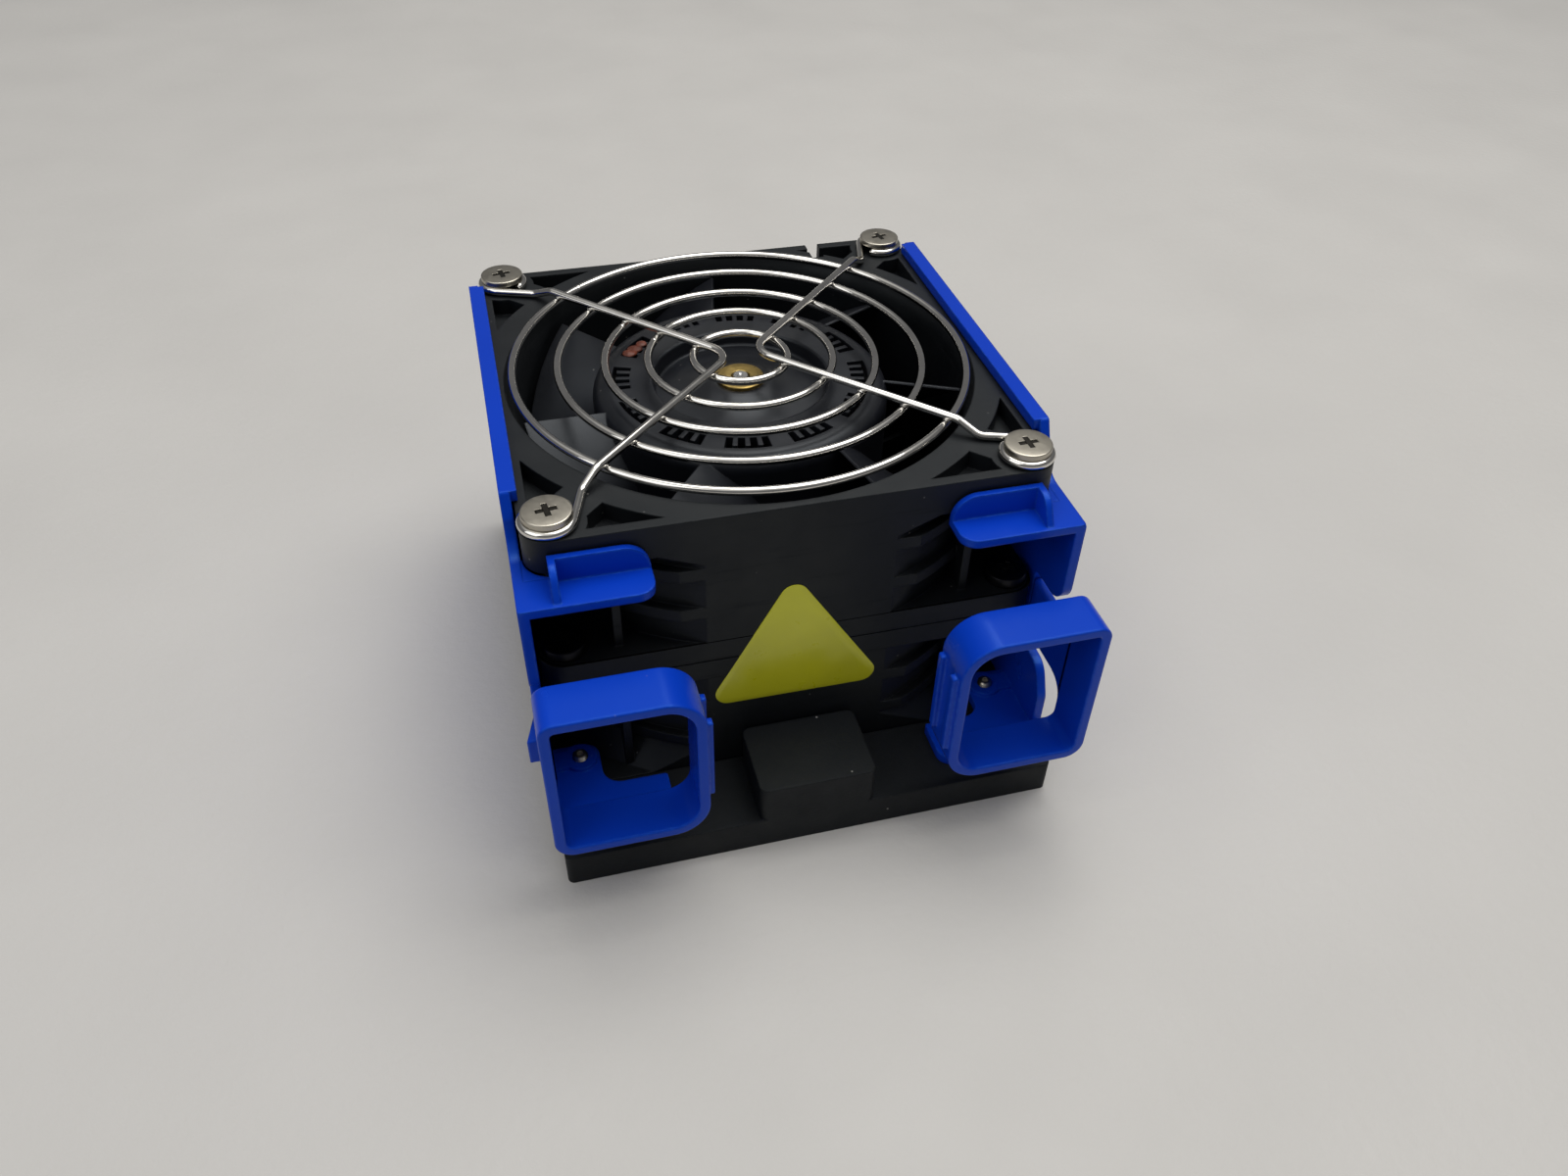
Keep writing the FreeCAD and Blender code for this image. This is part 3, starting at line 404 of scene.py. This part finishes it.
def surface(name, colour, roughness, metallic=0.0, variation=0.12, patch=70, grain=1600,
            depth=0.02, rounding=0.25, wear=0.0, wear_colour=None, dust=0.0, specks=0.0,
            streaks=None, coat=0.0, specular=0.5, sheen_colour=(1, 1, 1), rough_spread=0.06,
            bands=None):
    """Procedural material: patchy colour, grain bump, rounded edges, edge wear, dust and specks.

    Scales are per metre, depth and rounding in millimetres. bands is (axis, per metre, depth).
    """
    material = bpy.data.materials.new(name)
    material.use_nodes = True
    tree = material.node_tree
    shader = tree.nodes["Principled BSDF"]
    shader.inputs["Metallic"].default_value = metallic
    shader.inputs["Specular IOR Level"].default_value = specular
    shader.inputs["Specular Tint"].default_value = (*sheen_colour, 1)
    shader.inputs["Coat Weight"].default_value = coat
    shader.inputs["Coat Roughness"].default_value = 0.2

    place = node(tree, "ShaderNodeTexCoord").outputs["Object"]
    tone = blended(tree, spread(tree, noise(tree, place, patch, 4), 0.3, 0.7),
                   times(colour, 1 - variation), times(colour, 1 + variation))
    rough = spread(tree, noise(tree, place, patch * 2.3, 5), 0.3, 0.7,
                   roughness - rough_spread, roughness + rough_spread)
    bevel = node(tree, "ShaderNodeBevel", samples=4)
    bevel.inputs["Radius"].default_value = rounding * MM
    normal = bevel.outputs["Normal"]
    if wear:
        tone = blended(tree, edge_wear(tree, place, normal, wear), tone, wear_colour)
    if streaks:
        scratch = spread(tree, noise(tree, place, STREAK_GRAIN, 6, streaks), 0.6, 0.72)
        rough = arithmetic(tree, "ADD", rough, arithmetic(tree, "MULTIPLY", scratch, 0.12))
        tone = blended(tree, arithmetic(tree, "MULTIPLY", scratch, 0.35), tone,
                       times(colour, 1.5))
    if dust:
        film = settled_dust(tree, place, dust)
        tone = blended(tree, film, tone, DUST_COLOUR)
        rough = arithmetic(tree, "ADD", rough, arithmetic(tree, "MULTIPLY", film, 0.5))
    if specks:
        tone = blended(tree, stray_specks(tree, place, specks), tone, SPECK_COLOUR)
    normal = bump(tree, noise(tree, place, grain), depth, normal)
    if bands:
        axis, per_metre, band_depth = bands
        lines = layered_bands(tree, place, axis, per_metre)
        normal = bump(tree, lines, band_depth, normal)
        tone = blended(tree, spread(tree, lines, 0, 1, 0, 0.5), tone, times(colour, 0.55))
    tree.links.new(tone, shader.inputs["Base Color"])
    tree.links.new(rough, shader.inputs["Roughness"])
    tree.links.new(normal, shader.inputs["Normal"])
    return material


# ---------------------------------------------------------------- materials

MATERIAL_SETTINGS = {
    "fan_plastic": dict(colour=(0.0034, 0.0041, 0.0054), roughness=0.5, grain=3200, depth=0.012,
                        rounding=0.45, wear=0.3, wear_colour=(0.024, 0.026, 0.03), dust=0.01,
                        specks=0.35, specular=0.32, sheen_colour=(0.9, 0.97, 1),
                        streaks=(0.3, 0.3, 3)),
    "seam_shadow": dict(colour=(0.0008, 0.0008, 0.001), roughness=0.9, specular=0.05),
    "impeller_plastic": dict(colour=(0.006, 0.0068, 0.0098), roughness=0.38, grain=2600,
                             depth=0.008, rounding=0.35, wear=0.25,
                             wear_colour=(0.05, 0.05, 0.055), dust=0.02, specks=0.3,
                             specular=0.42, sheen_colour=(0.88, 0.94, 1)),
    "steel": dict(colour=(0.5, 0.5, 0.5), roughness=0.3, metallic=1, depth=0.006, rounding=0.12),
    "magnet": dict(colour=(0.045, 0.043, 0.042), roughness=0.6, metallic=0.3, grain=3000),
    "brass": dict(colour=(0.46, 0.33, 0.11), roughness=0.32, metallic=1, variation=0.25,
                  patch=500, depth=0.008, rounding=0.15, bands=("RINGS", 2600, 0.004)),
    "core_steel": dict(colour=(0.3, 0.3, 0.32), roughness=0.4, metallic=1, rounding=0.1,
                       bands=("Z", 2000, 0.03)),
    "copper": dict(colour=(0.62, 0.2, 0.07), roughness=0.3, metallic=1, rounding=0.2,
                   bands=("Z", 2400, 0.06), coat=0.4),
    "circuit_board": dict(colour=(0.012, 0.1, 0.04), roughness=0.35, patch=400, variation=0.4,
                          rounding=0.1, coat=0.3, specks=0.9),
    "bearing_steel": dict(colour=(0.62, 0.62, 0.62), roughness=0.18, metallic=1, depth=0.003,
                          rounding=0.2),
    "lead_sleeve": dict(colour=(0.016, 0.016, 0.017), roughness=0.45, grain=900, depth=0.05,
                        rounding=0.05),
    "guard_plating": dict(colour=(0.7, 0.68, 0.64), roughness=0.09, metallic=1, variation=0.08,
                          patch=260, grain=900, depth=0.003, rounding=0.02, rough_spread=0.03),
    "screw_plating": dict(colour=(0.46, 0.43, 0.365), roughness=0.32, metallic=1,
                          variation=0.08, patch=400, grain=1500, depth=0.002, rounding=0.12,
                          rough_spread=0.03),
    "recess_shade": dict(colour=(0.03, 0.028, 0.024), roughness=0.45, metallic=1),
    "dark_plating": dict(colour=(0.022, 0.022, 0.024), roughness=0.42, metallic=1,
                         variation=0.15, patch=400, grain=1500, depth=0.004, rounding=0.12),
    "blue_plastic": dict(colour=(0.0022, 0.038, 0.44), roughness=0.26, variation=0.03, patch=45,
                         grain=1400, depth=0.003, rounding=0.6, wear=0.3,
                         wear_colour=(0.03, 0.14, 0.6), specks=0.1, specular=0.46,
                         sheen_colour=(0.12, 0.42, 1), rough_spread=0.015),
    "gasket_rubber": dict(colour=(0.0026, 0.0034, 0.0048), roughness=0.6, grain=2400, depth=0.04,
                          rounding=0.5, dust=0.008, specks=0.9, specular=0.3,
                          sheen_colour=(0.9, 0.96, 1)),
    "connector_plastic": dict(colour=(0.018, 0.018, 0.02), roughness=0.4, depth=0.01,
                              rounding=0.2),
    "contact_plating": dict(colour=(0.8, 0.56, 0.2), roughness=0.22, metallic=1, depth=0.003,
                            rounding=0.08),
    "sticker": dict(colour=(0.58, 0.575, 0.012), roughness=0.32, variation=0.05, patch=120,
                    grain=700, rounding=0.05, coat=0.5),
    "putty": dict(colour=(0.13, 0.028, 0.012), roughness=0.5, variation=0.4, patch=700,
                  grain=1100, depth=0.15, rounding=0.2),
    "floor": dict(colour=(0.5, 0.488, 0.468), roughness=0.6, variation=0.03, patch=14, grain=400,
                  depth=0.15, rounding=0.1),
}
MATERIALS = {name: surface(name, **settings) for name, settings in MATERIAL_SETTINGS.items()}

slots = {entry["node"]: entry["material_slot"] for entry in frame["record"]["subparts"]}
for name, cad_object in nodes.items():
    cad_object.data.materials.clear()
    cad_object.data.materials.append(MATERIALS[slots[name]])
    shade(cad_object.data, CAD_SHARP)


# ---------------------------------------------------------------- latches

LATCH_EDGE = 0.42       # radius of the rounded edges
MERGE = 2e-6            # metres: points closer than this are one
FLAT = 0.5              # degrees: faces that meet at less are one
ROUNDED_FROM = 40       # degrees: edges that turn more are rounded
ROUNDED_SHARP = 44      # degrees, for the shading of the rounded copy


def softened(node_name, body, slot, radius):
    """Copy of a moulded piece with its edges really rounded, which stands in for it."""
    work = bmesh.new()
    work.from_mesh(nodes[node_name].data)
    work.transform(nodes[node_name].matrix_world)
    bmesh.ops.remove_doubles(work, verts=work.verts, dist=MERGE)
    bmesh.ops.dissolve_limit(work, angle_limit=math.radians(FLAT), verts=work.verts[:],
                             edges=work.edges[:], delimit=set())
    edges = [edge for edge in work.edges
             if len(edge.link_faces) == 2 and edge.calc_face_angle() > math.radians(ROUNDED_FROM)]
    bmesh.ops.bevel(work, geom=edges, offset=radius * MM, offset_type="OFFSET", segments=3,
                    profile=0.5, affect="EDGES", clamp_overlap=True)
    mesh = bpy.data.meshes.new(node_name + "_rounded")
    work.to_mesh(mesh)
    work.free()
    piece = finish_piece(mesh.name, mesh, body, slot, sharp=ROUNDED_SHARP)
    weighting = piece.modifiers.new("normals", "WEIGHTED_NORMAL")
    weighting.mode = "FACE_AREA"
    weighting.weight = 100
    weighting.keep_sharp = True
    apply_modifiers(piece)
    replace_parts(piece, node_name)


for side_name in SIDES:
    softened(side_name + "_latch", side_name + "_handle", "blue_plastic", LATCH_EDGE)


# ---------------------------------------------------------------- wire guard

WIRE = 0.78             # radius of the wire
RINGS = (42.9, 34.5, 25.7, 17.6, 9.0)
RING_LEVEL = 67.55      # middle of the rings' wire
ARM_LEVEL = 68.85       # the bent wires cross above the rings
EYE_LEVEL = 66.98       # and come down to their eyes under the screws
EYE = 4.2
EYE_TURN = 290          # degrees of wire round the screw
EYE_REACH = 9.0         # from the screw to the joggle
JOGGLE = 4.4            # how far along the arm it climbs
ARM_BEND = 3.0
APEX_BEND = 4.6
WELD_TURN, WELD_STEP = 128, 7
BENT_WIRES = {          # apex, then each arm's screw; eyes all turn the same way round
    "left": ((-2.0, -1.1), [(-HOLE, -HOLE), (-HOLE, HOLE)]),
    "right": ((2.1, -0.3), [(HOLE, -HOLE), (HOLE, HOLE)]),
}


def guard_ring(radius):
    steps = max(48, int(radius * 4))
    path = [(radius * math.cos(2 * math.pi * step / steps),
             radius * math.sin(2 * math.pi * step / steps), RING_LEVEL) for step in range(steps)]
    return sweep(path, WIRE, closed=True)


def ring_weld(index, radius):
    turn = math.radians(WELD_TURN + WELD_STEP * index)
    return blob((radius * math.cos(turn), radius * math.sin(turn), RING_LEVEL),
                (0.86, 0.86, 0.84), index)


def arm_parts(apex, screw):
    """Eye points, from the wire's end to the arm, and the arm's corner points."""
    direction = (screw - Vector((apex.x, apex.y, 0))).normalized()
    towards = Matrix.Rotation(math.asin(EYE / EYE_REACH), 3, "Z") @ direction
    joggle_low = screw - direction * EYE_REACH + Vector((0, 0, EYE_LEVEL))
    joggle_high = joggle_low - direction * JOGGLE + Vector((0, 0, ARM_LEVEL - EYE_LEVEL))
    touch = joggle_low + towards * math.sqrt(EYE_REACH ** 2 - EYE ** 2)
    eye_start = math.degrees(math.atan2(touch.y - screw.y, touch.x - screw.x))
    eye = arc_points(screw, EYE, eye_start, -EYE_TURN, EYE_LEVEL, 44)
    return eye[::-1], [touch, joggle_low, joggle_high]


def bent_wire(apex, screws):
    """Path of a V-shaped wire, its apex and the upper ends of its two joggles."""
    apex = Vector((*apex, ARM_LEVEL))
    first_eye, first = arm_parts(apex, Vector((*screws[0], 0)))
    second_eye, second = arm_parts(apex, Vector((*screws[1], 0)))
    middle = rounded(first + [apex] + second[::-1],
                     [ARM_BEND, ARM_BEND, APEX_BEND, ARM_BEND, ARM_BEND])
    closest = 0.05
    path = []
    for point in first_eye[:-1] + middle + second_eye[::-1][1:]:
        if not path or (point - path[-1]).length > closest:
            path.append(point)
    return path, apex, (first[-1], second[-1])


def arm_welds(apex, end):
    """Weld lumps where the straight part of an arm crosses the rings."""
    direction = end - apex
    past_end = 1.02
    welds = []
    for radius in RINGS:
        a = direction.x ** 2 + direction.y ** 2
        b = 2 * (apex.x * direction.x + apex.y * direction.y)
        c = apex.x ** 2 + apex.y ** 2 - radius ** 2
        share = (-b + math.sqrt(b * b - 4 * a * c)) / (2 * a)
        if share < past_end:
            crossing = apex + direction * share
            welds.append(blob((crossing.x, crossing.y, (RING_LEVEL + ARM_LEVEL) / 2),
                              (0.85, 0.85, 0.5), radius))
    return welds


rings = [guard_ring(radius) for radius in RINGS]
rings += [ring_weld(index, radius) for index, radius in enumerate(RINGS)]
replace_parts(piece_from("guard_ring_wires", joined(rings), "housing", "guard_plating"),
            "guard_rings")
for side_name, (apex_place, screws) in BENT_WIRES.items():
    path, apex, ends = bent_wire(apex_place, screws)
    parts = [sweep(path, WIRE)]
    for end in ends:
        parts += arm_welds(apex, end)
    wire = piece_from("guard_bent_wire_" + side_name, joined(parts), "housing", "guard_plating")
    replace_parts(wire, "guard_wire_" + side_name)


# ---------------------------------------------------------------- screws

SHADE_DROP = 0.45      # the painted shade that fills a recess starts this far below the head's top
SHADE_FLOOR = 0.02     # and ends this far above the recess's floor
SHADE_LENGTH, SHADE_WIDTH = 0.83, 0.88


def cross_cutter(centre, top, depth, length, width, turn):
    """Two tapered bars, wider at the top, that make the cross of a screw's recess."""
    above = 0.3
    levels = ((top + above, length / 2 + 0.12, width / 2 + 0.05),
              (top - depth, length / 4, width / 2 - 0.05))
    faces = [(0, 1, 2, 3), (7, 6, 5, 4), (0, 4, 5, 1), (1, 5, 6, 2), (2, 6, 7, 3), (3, 7, 4, 0)]
    parts = []
    for quarter in (0, 90):
        angle = math.radians(turn + quarter)
        along = Vector((math.cos(angle), math.sin(angle), 0))
        across = Vector((-along.y, along.x, 0))
        apart = 0.001 * quarter
        verts = []
        for level, half_length, half_width in levels:
            middle = Vector((centre[0], centre[1], level + apart))
            verts += [middle + along * (u * half_length) + across * (v * half_width)
                      for u, v in ((-1, -1), (1, -1), (1, 1), (-1, 1))]
        parts.append((verts, faces))
    return parts


def head_profile(head, low, high, shank, shank_low):
    """Half section of a pan-head screw, from the shank's end to the middle of its head."""
    edge = 0.28
    profile = [(0, shank_low), (shank - 0.4, shank_low), (shank, shank_low + 0.5),
               (shank, low), (head - 0.12, low), (head, low + 0.12), (head, high - edge)]
    for step in range(1, 5):
        angle = math.radians(90 * step / 4)
        profile.append((head - edge * (1 - math.cos(angle)),
                        high - edge + edge * math.sin(angle) * 0.75))
    return profile + [(head * 0.6, high - 0.03), (head * 0.3, high), (0, high)]


def screw_set(name, replaced, plating, head, low, high, shank, shank_low, recess, turns):
    """Four pan-head screws at the corners; painted shade darkens the lower part of each cross
    recess.
    """
    depth, length, width = recess
    profile = head_profile(head, low, high, shank, shank_low)
    shades = []
    for index, (corner, turn) in enumerate(zip(CORNERS, turns)):
        piece = piece_from("%s_%d" % (name, index + 1), lathe(profile, 56, corner), "housing",
                           plating)
        for number, bar in enumerate(cross_cutter(corner, high, depth, length, width, turn)):
            carve(piece, bar, "cutter%d" % number)
        # dark plugs of painted shade in the lower part of each recess
        shades += cross_cutter(corner, high - SHADE_DROP, depth - SHADE_DROP - SHADE_FLOOR,
                               length * SHADE_LENGTH, width * SHADE_WIDTH, turn)
        if index == 0:
            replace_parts(piece, replaced)
    # the painted shade of all the recesses, as one piece
    piece_from(name + "_recess_painted_shade", joined(shades), "housing", plating, "recess_shade")


screw_set("guard_screw", "guard_screws", "screw_plating", head=4.2, low=67.78, high=69.0,
          shank=1.9, shank_low=56.2, recess=(1.3, 3.8, 0.95), turns=(8, 2, 10, 12))
screw_set("joining_screw", "joining_screws", "dark_plating", head=3.9, low=38.6, high=40.8,
          shank=1.9, shank_low=29.0, recess=(1.4, 3.6, 0.9), turns=(30, 55, 10, 70))

THREAD = 0.3            # pitch of the carrier screws
SHANK, CREST = 1.2, 1.42
tip = [(0, 8.6), (SHANK, 8.6)]
for step in range(6):
    level = 8.7 + THREAD * step
    tip += [(SHANK, level), (CREST, level + 0.4 * THREAD), (SHANK, level + 0.8 * THREAD)]
tip += [(1.1, 10.62), (0.85, 10.7), (0.6, 10.68), (0.5, 10.1), (0, 9.9)]
head = [(0, 0.95), (1.6, 0.95), (1.6, 1.15), (2.9, 0.9), (3.3, 1.0), (3.4, 1.3), (3.4, 2.2),
        (CREST, 2.2), (CREST, 8.65), (0, 8.65)]
screws = [lathe(tip, 28, corner) for corner in CORNERS]
screws += [lathe(head, 40, corner) for corner in CORNERS]
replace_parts(piece_from("carrier_screw_set", joined(screws), "housing", "screw_plating"),
            "carrier_screws")


# ---------------------------------------------------------------- arm gussets

ARM_FACES = (46.44, 48.16)              # inner and outer face of a latch arm
ARM_CORNERS = ((26.7, 1), (38.5, -1))   # levels of its edges, and 1 where the arm lies above
LOOP_BACK = -60.2                       # back face of the finger loops
GUSSET = 4.0                            # radius of the curve


def gusset(side, corner_level, turn):
    """Rounded inner corner where a latch arm meets the back of its finger loop."""
    sunk = 0.3 * turn       # its flat sides lie this far inside the arm and the loop
    into_loop = 0.2
    outline_points = [(LOOP_BACK, corner_level + sunk),
                      (LOOP_BACK + GUSSET + into_loop, corner_level + sunk)]
    for step in range(9):
        angle = math.radians(90 * step / 8)
        outline_points.append((LOOP_BACK + into_loop + GUSSET * (1 - math.sin(angle)),
                               corner_level - turn * GUSSET * (1 - math.cos(angle))))
    outline_points.append((LOOP_BACK, corner_level - turn * GUSSET))
    verts = [(side * x, y, z) for x in ARM_FACES for y, z in outline_points]
    return verts, prism_faces(len(outline_points))


for side_name, side in SIDES.items():
    gussets = [gusset(side, level, turn) for level, turn in ARM_CORNERS]
    piece_from(side_name + "_arm_gussets", joined(gussets), side_name + "_handle",
               "blue_plastic")


# ---------------------------------------------------------------- seam, shelves and hub

BAND_FACE = 46.1        # the flange edges stand this far from the axis, a little proud
LINE_FACE = 46.03       # and the dark lines a little behind them
BAND_BACK = -36
BAND_CORNER = 5.0
BAND_INNER = 0.995      # its inner face, as a share of the outer one
SHELF_LEVELS = (57.75, 59.18)
SHELF_FRONT, SHELF_OUT = -46.4, 48.1
SHELF_SIDE = 46.3
SHELF_CENTRE, SHELF_HOLLOW = 41.0, 5.2  # centre and radius of the hollow round the fan's corner
EDGE_GAP, LINE_HALF, LINE_ABOVE = 0.13, 0.15, 0.16


def front_band(low, high, reach):
    """Upright strip round the front and the front corners of the fan frames."""
    path = [Vector((-reach, BAND_BACK, 0))]
    for side, start in ((-1, 180), (1, 270)):
        centre = (side * (reach - BAND_CORNER), BAND_CORNER - reach)
        path += arc_points(centre, BAND_CORNER, start, 90, 0, 8)
    path.append(Vector((reach, BAND_BACK, 0)))
    count = len(path)
    verts = [(point.x * share, point.y * share, level)
             for share in (1, BAND_INNER) for level in (low, high) for point in path]
    faces = []
    for step in range(count - 1):
        for first, second in ((0, count), (2 * count, 0), (count, 3 * count)):
            faces.append((first + step, first + step + 1, second + step + 1, second + step))
    return verts, faces


def corner_shelf(side):
    """Shelf corner that follows the rounded corner of the upper fan."""
    curve = arc_points((side * SHELF_CENTRE, -SHELF_CENTRE), SHELF_HOLLOW, 270, 90 * side, 0, 10)
    outline_points = [(side * SHELF_OUT, SHELF_FRONT), (side * SHELF_CENTRE, SHELF_FRONT)]
    outline_points += [(point.x, point.y) for point in curve]
    outline_points += [(side * SHELF_SIDE, -SHELF_CENTRE), (side * SHELF_OUT, -SHELF_CENTRE)]
    verts = [(x, y, level) for level in SHELF_LEVELS for x, y in outline_points]
    return verts, prism_faces(len(outline_points))


flange_edges = [front_band(SEAM + EDGE_GAP, SEAM + FLANGE, BAND_FACE),
                front_band(SEAM - FLANGE, SEAM - EDGE_GAP, BAND_FACE)]
piece_from("seam_flange_edges", joined(flange_edges), "housing", "fan_plastic")
shadow_lines = [front_band(SEAM - LINE_HALF, SEAM + LINE_HALF, LINE_FACE),
                front_band(SEAM + FLANGE, SEAM + FLANGE + LINE_ABOVE, LINE_FACE)]
piece_from("seam_shadow_lines", joined(shadow_lines), "housing", "fan_plastic", "seam_shadow")
piece_from("shelf_corners", joined([corner_shelf(-1), corner_shelf(1)]), "housing",
           "blue_plastic")

boss = [(4.5, 60.2), (4.5, 62.62), (4.7, 62.72), (5.6, 62.66), (7.2, 62.2), (9.4, 61.4),
        (12.0, 60.85), (15.0, 60.56), (16.0, 60.45), (16.0, 60.2)]
bushing_rim = [(1.75, 62.2), (1.75, 63.3), (1.9, 63.44), (3.2, 63.5), (4.35, 63.46),
               (4.58, 63.28), (4.62, 62.5), (4.3, 62.2)]
shaft_tip = [(0, 62.9), (1.46, 62.9), (1.46, 63.5), (1.28, 63.66), (0.5, 63.66), (0.3, 63.5),
             (0, 63.42)]
piece_from("upper_hub_boss", lathe(boss, 72, closed=True), "upper_rotor", "impeller_plastic")
piece_from("upper_bushing_rim", lathe(bushing_rim, 64, closed=True), "upper_rotor", "brass")
piece_from("upper_shaft_tip", lathe(shaft_tip, 40), "upper_rotor", "steel")


# ---------------------------------------------------------------- sticker and putty

STICKER_CORNERS = [(-1.4, 51.6), (-17.5, 22.6), (17.0, 22.3)]
STICKER_MIDDLE = Vector((-0.4, 33.0, 0))
STICKER_ROUNDING = 2.6


def sticker():
    """Plain three-cornered sticker, which bridges the seam on the front panels."""
    outline_points = rounded_outline(STICKER_CORNERS, STICKER_ROUNDING)
    count = len(outline_points)
    verts, faces = [], []
    for inset, out in ((0, 0.0), (0, 0.11), (0.08, 0.14)):
        for point in outline_points:
            shift = (STICKER_MIDDLE - point).normalized() * inset
            verts.append((point.x + shift.x, -FAN_HALF - out, point.y + shift.y))
    for lower, upper in ((0, count), (count, 2 * count)):
        for step in range(count):
            following = (step + 1) % count
            faces.append((lower + step, lower + following, upper + following, upper + step))
    faces.append(tuple(range(2 * count, 3 * count)))
    faces.append(tuple(range(count))[::-1])
    return verts, faces


piece_from("front_sticker", sticker(), "housing", "fan_plastic", "sticker")
putty = [blob((-19.4, 12.6, 63.6), (1.5, 1.3, 0.5), 1.0),
         blob((-18.2, 14.0, 63.6), (1.6, 1.3, 0.45), 2.0),
         blob((-16.6, 15.7, 63.6), (1.1, 1.1, 0.35), 0.4)]
piece_from("balance_putty", joined(putty), "upper_rotor", "impeller_plastic", "putty")


# ---------------------------------------------------------------- floor, lights and camera

FLOOR_HALF = 3000
LAMP_TARGET = Vector((0, 0, 0.03))
SKY_LOW, SKY_HIGH = (0.2, 0.2, 0.205), (1.3, 1.29, 1.26)
BACKDROP = (0.7, 0.69, 0.67)
SKY_STRENGTH = 0.75
CAMERA_ANGLES = (-15.7845, 41.265, 1.496)       # degrees: azimuth, elevation and roll
CAMERA_TARGET = Vector((-9.298, -67.668, 68.5)) * MM
CAMERA_DISTANCE = 0.177593


def add_floor():
    half = FLOOR_HALF
    mesh = mesh_from("floor", ([(-half, -half, 0), (half, -half, 0), (half, half, 0),
                                (-half, half, 0)], [(0, 1, 2, 3)]))
    mesh.materials.append(MATERIALS["floor"])
    linked("floor", mesh)


def add_lamp(name, place, size, power, colour):
    lamp = bpy.data.lights.new(name, "AREA")
    lamp.shape = "RECTANGLE"
    lamp.size, lamp.size_y = size
    lamp.energy = power
    lamp.color = colour
    holder = linked(name, lamp)
    holder.location = place
    holder.rotation_euler = (LAMP_TARGET - Vector(place)).to_track_quat("-Z", "Y").to_euler()


def add_world():
    """Soft surroundings, brightest overhead, with a plain pale backdrop to look at."""
    world = bpy.data.worlds.new("studio")
    bpy.context.scene.world = world
    world.use_nodes = True
    tree = world.node_tree
    place = node(tree, "ShaderNodeTexCoord").outputs["Generated"]
    split = node(tree, "ShaderNodeSeparateXYZ")
    tree.links.new(place, split.inputs[0])
    height = spread(tree, split.outputs["Z"], 0.6, 1.0)
    surroundings = blended(tree, height, SKY_LOW, SKY_HIGH)
    seen = node(tree, "ShaderNodeLightPath").outputs["Is Camera Ray"]
    background = tree.nodes["Background"]
    tree.links.new(blended(tree, seen, surroundings, BACKDROP), background.inputs["Color"])
    background.inputs["Strength"].default_value = SKY_STRENGTH


def add_camera():
    azimuth, elevation, roll = (math.radians(angle) for angle in CAMERA_ANGLES)
    back = Vector((math.sin(azimuth) * math.cos(elevation),
                   -math.cos(azimuth) * math.cos(elevation), math.sin(elevation)))
    level = (-back).cross(UP).normalized()
    upward = level.cross(-back)
    right = level * math.cos(roll) + upward * math.sin(roll)
    top = upward * math.cos(roll) - level * math.sin(roll)
    place = CAMERA_TARGET + back * CAMERA_DISTANCE
    camera = bpy.data.cameras.new("camera")
    camera.sensor_width = 36
    camera.lens = 27.59
    camera.clip_start = 0.01
    holder = linked("camera", camera)
    holder.matrix_world = Matrix((
        (right.x, top.x, back.x, place.x), (right.y, top.y, back.y, place.y),
        (right.z, top.z, back.z, place.z), (0, 0, 0, 1)))
    bpy.context.scene.camera = holder


add_floor()
add_lamp("overhead", (0.28, 0.16, 1.0), (1.0, 0.7), 7.8, (1, 0.985, 0.96))
add_lamp("fill", (-0.8, -0.3, 0.8), (0.9, 0.9), 3.2, (0.97, 0.98, 1))
add_world()
add_camera()
bpy.context.scene.view_settings.view_transform = "Standard"
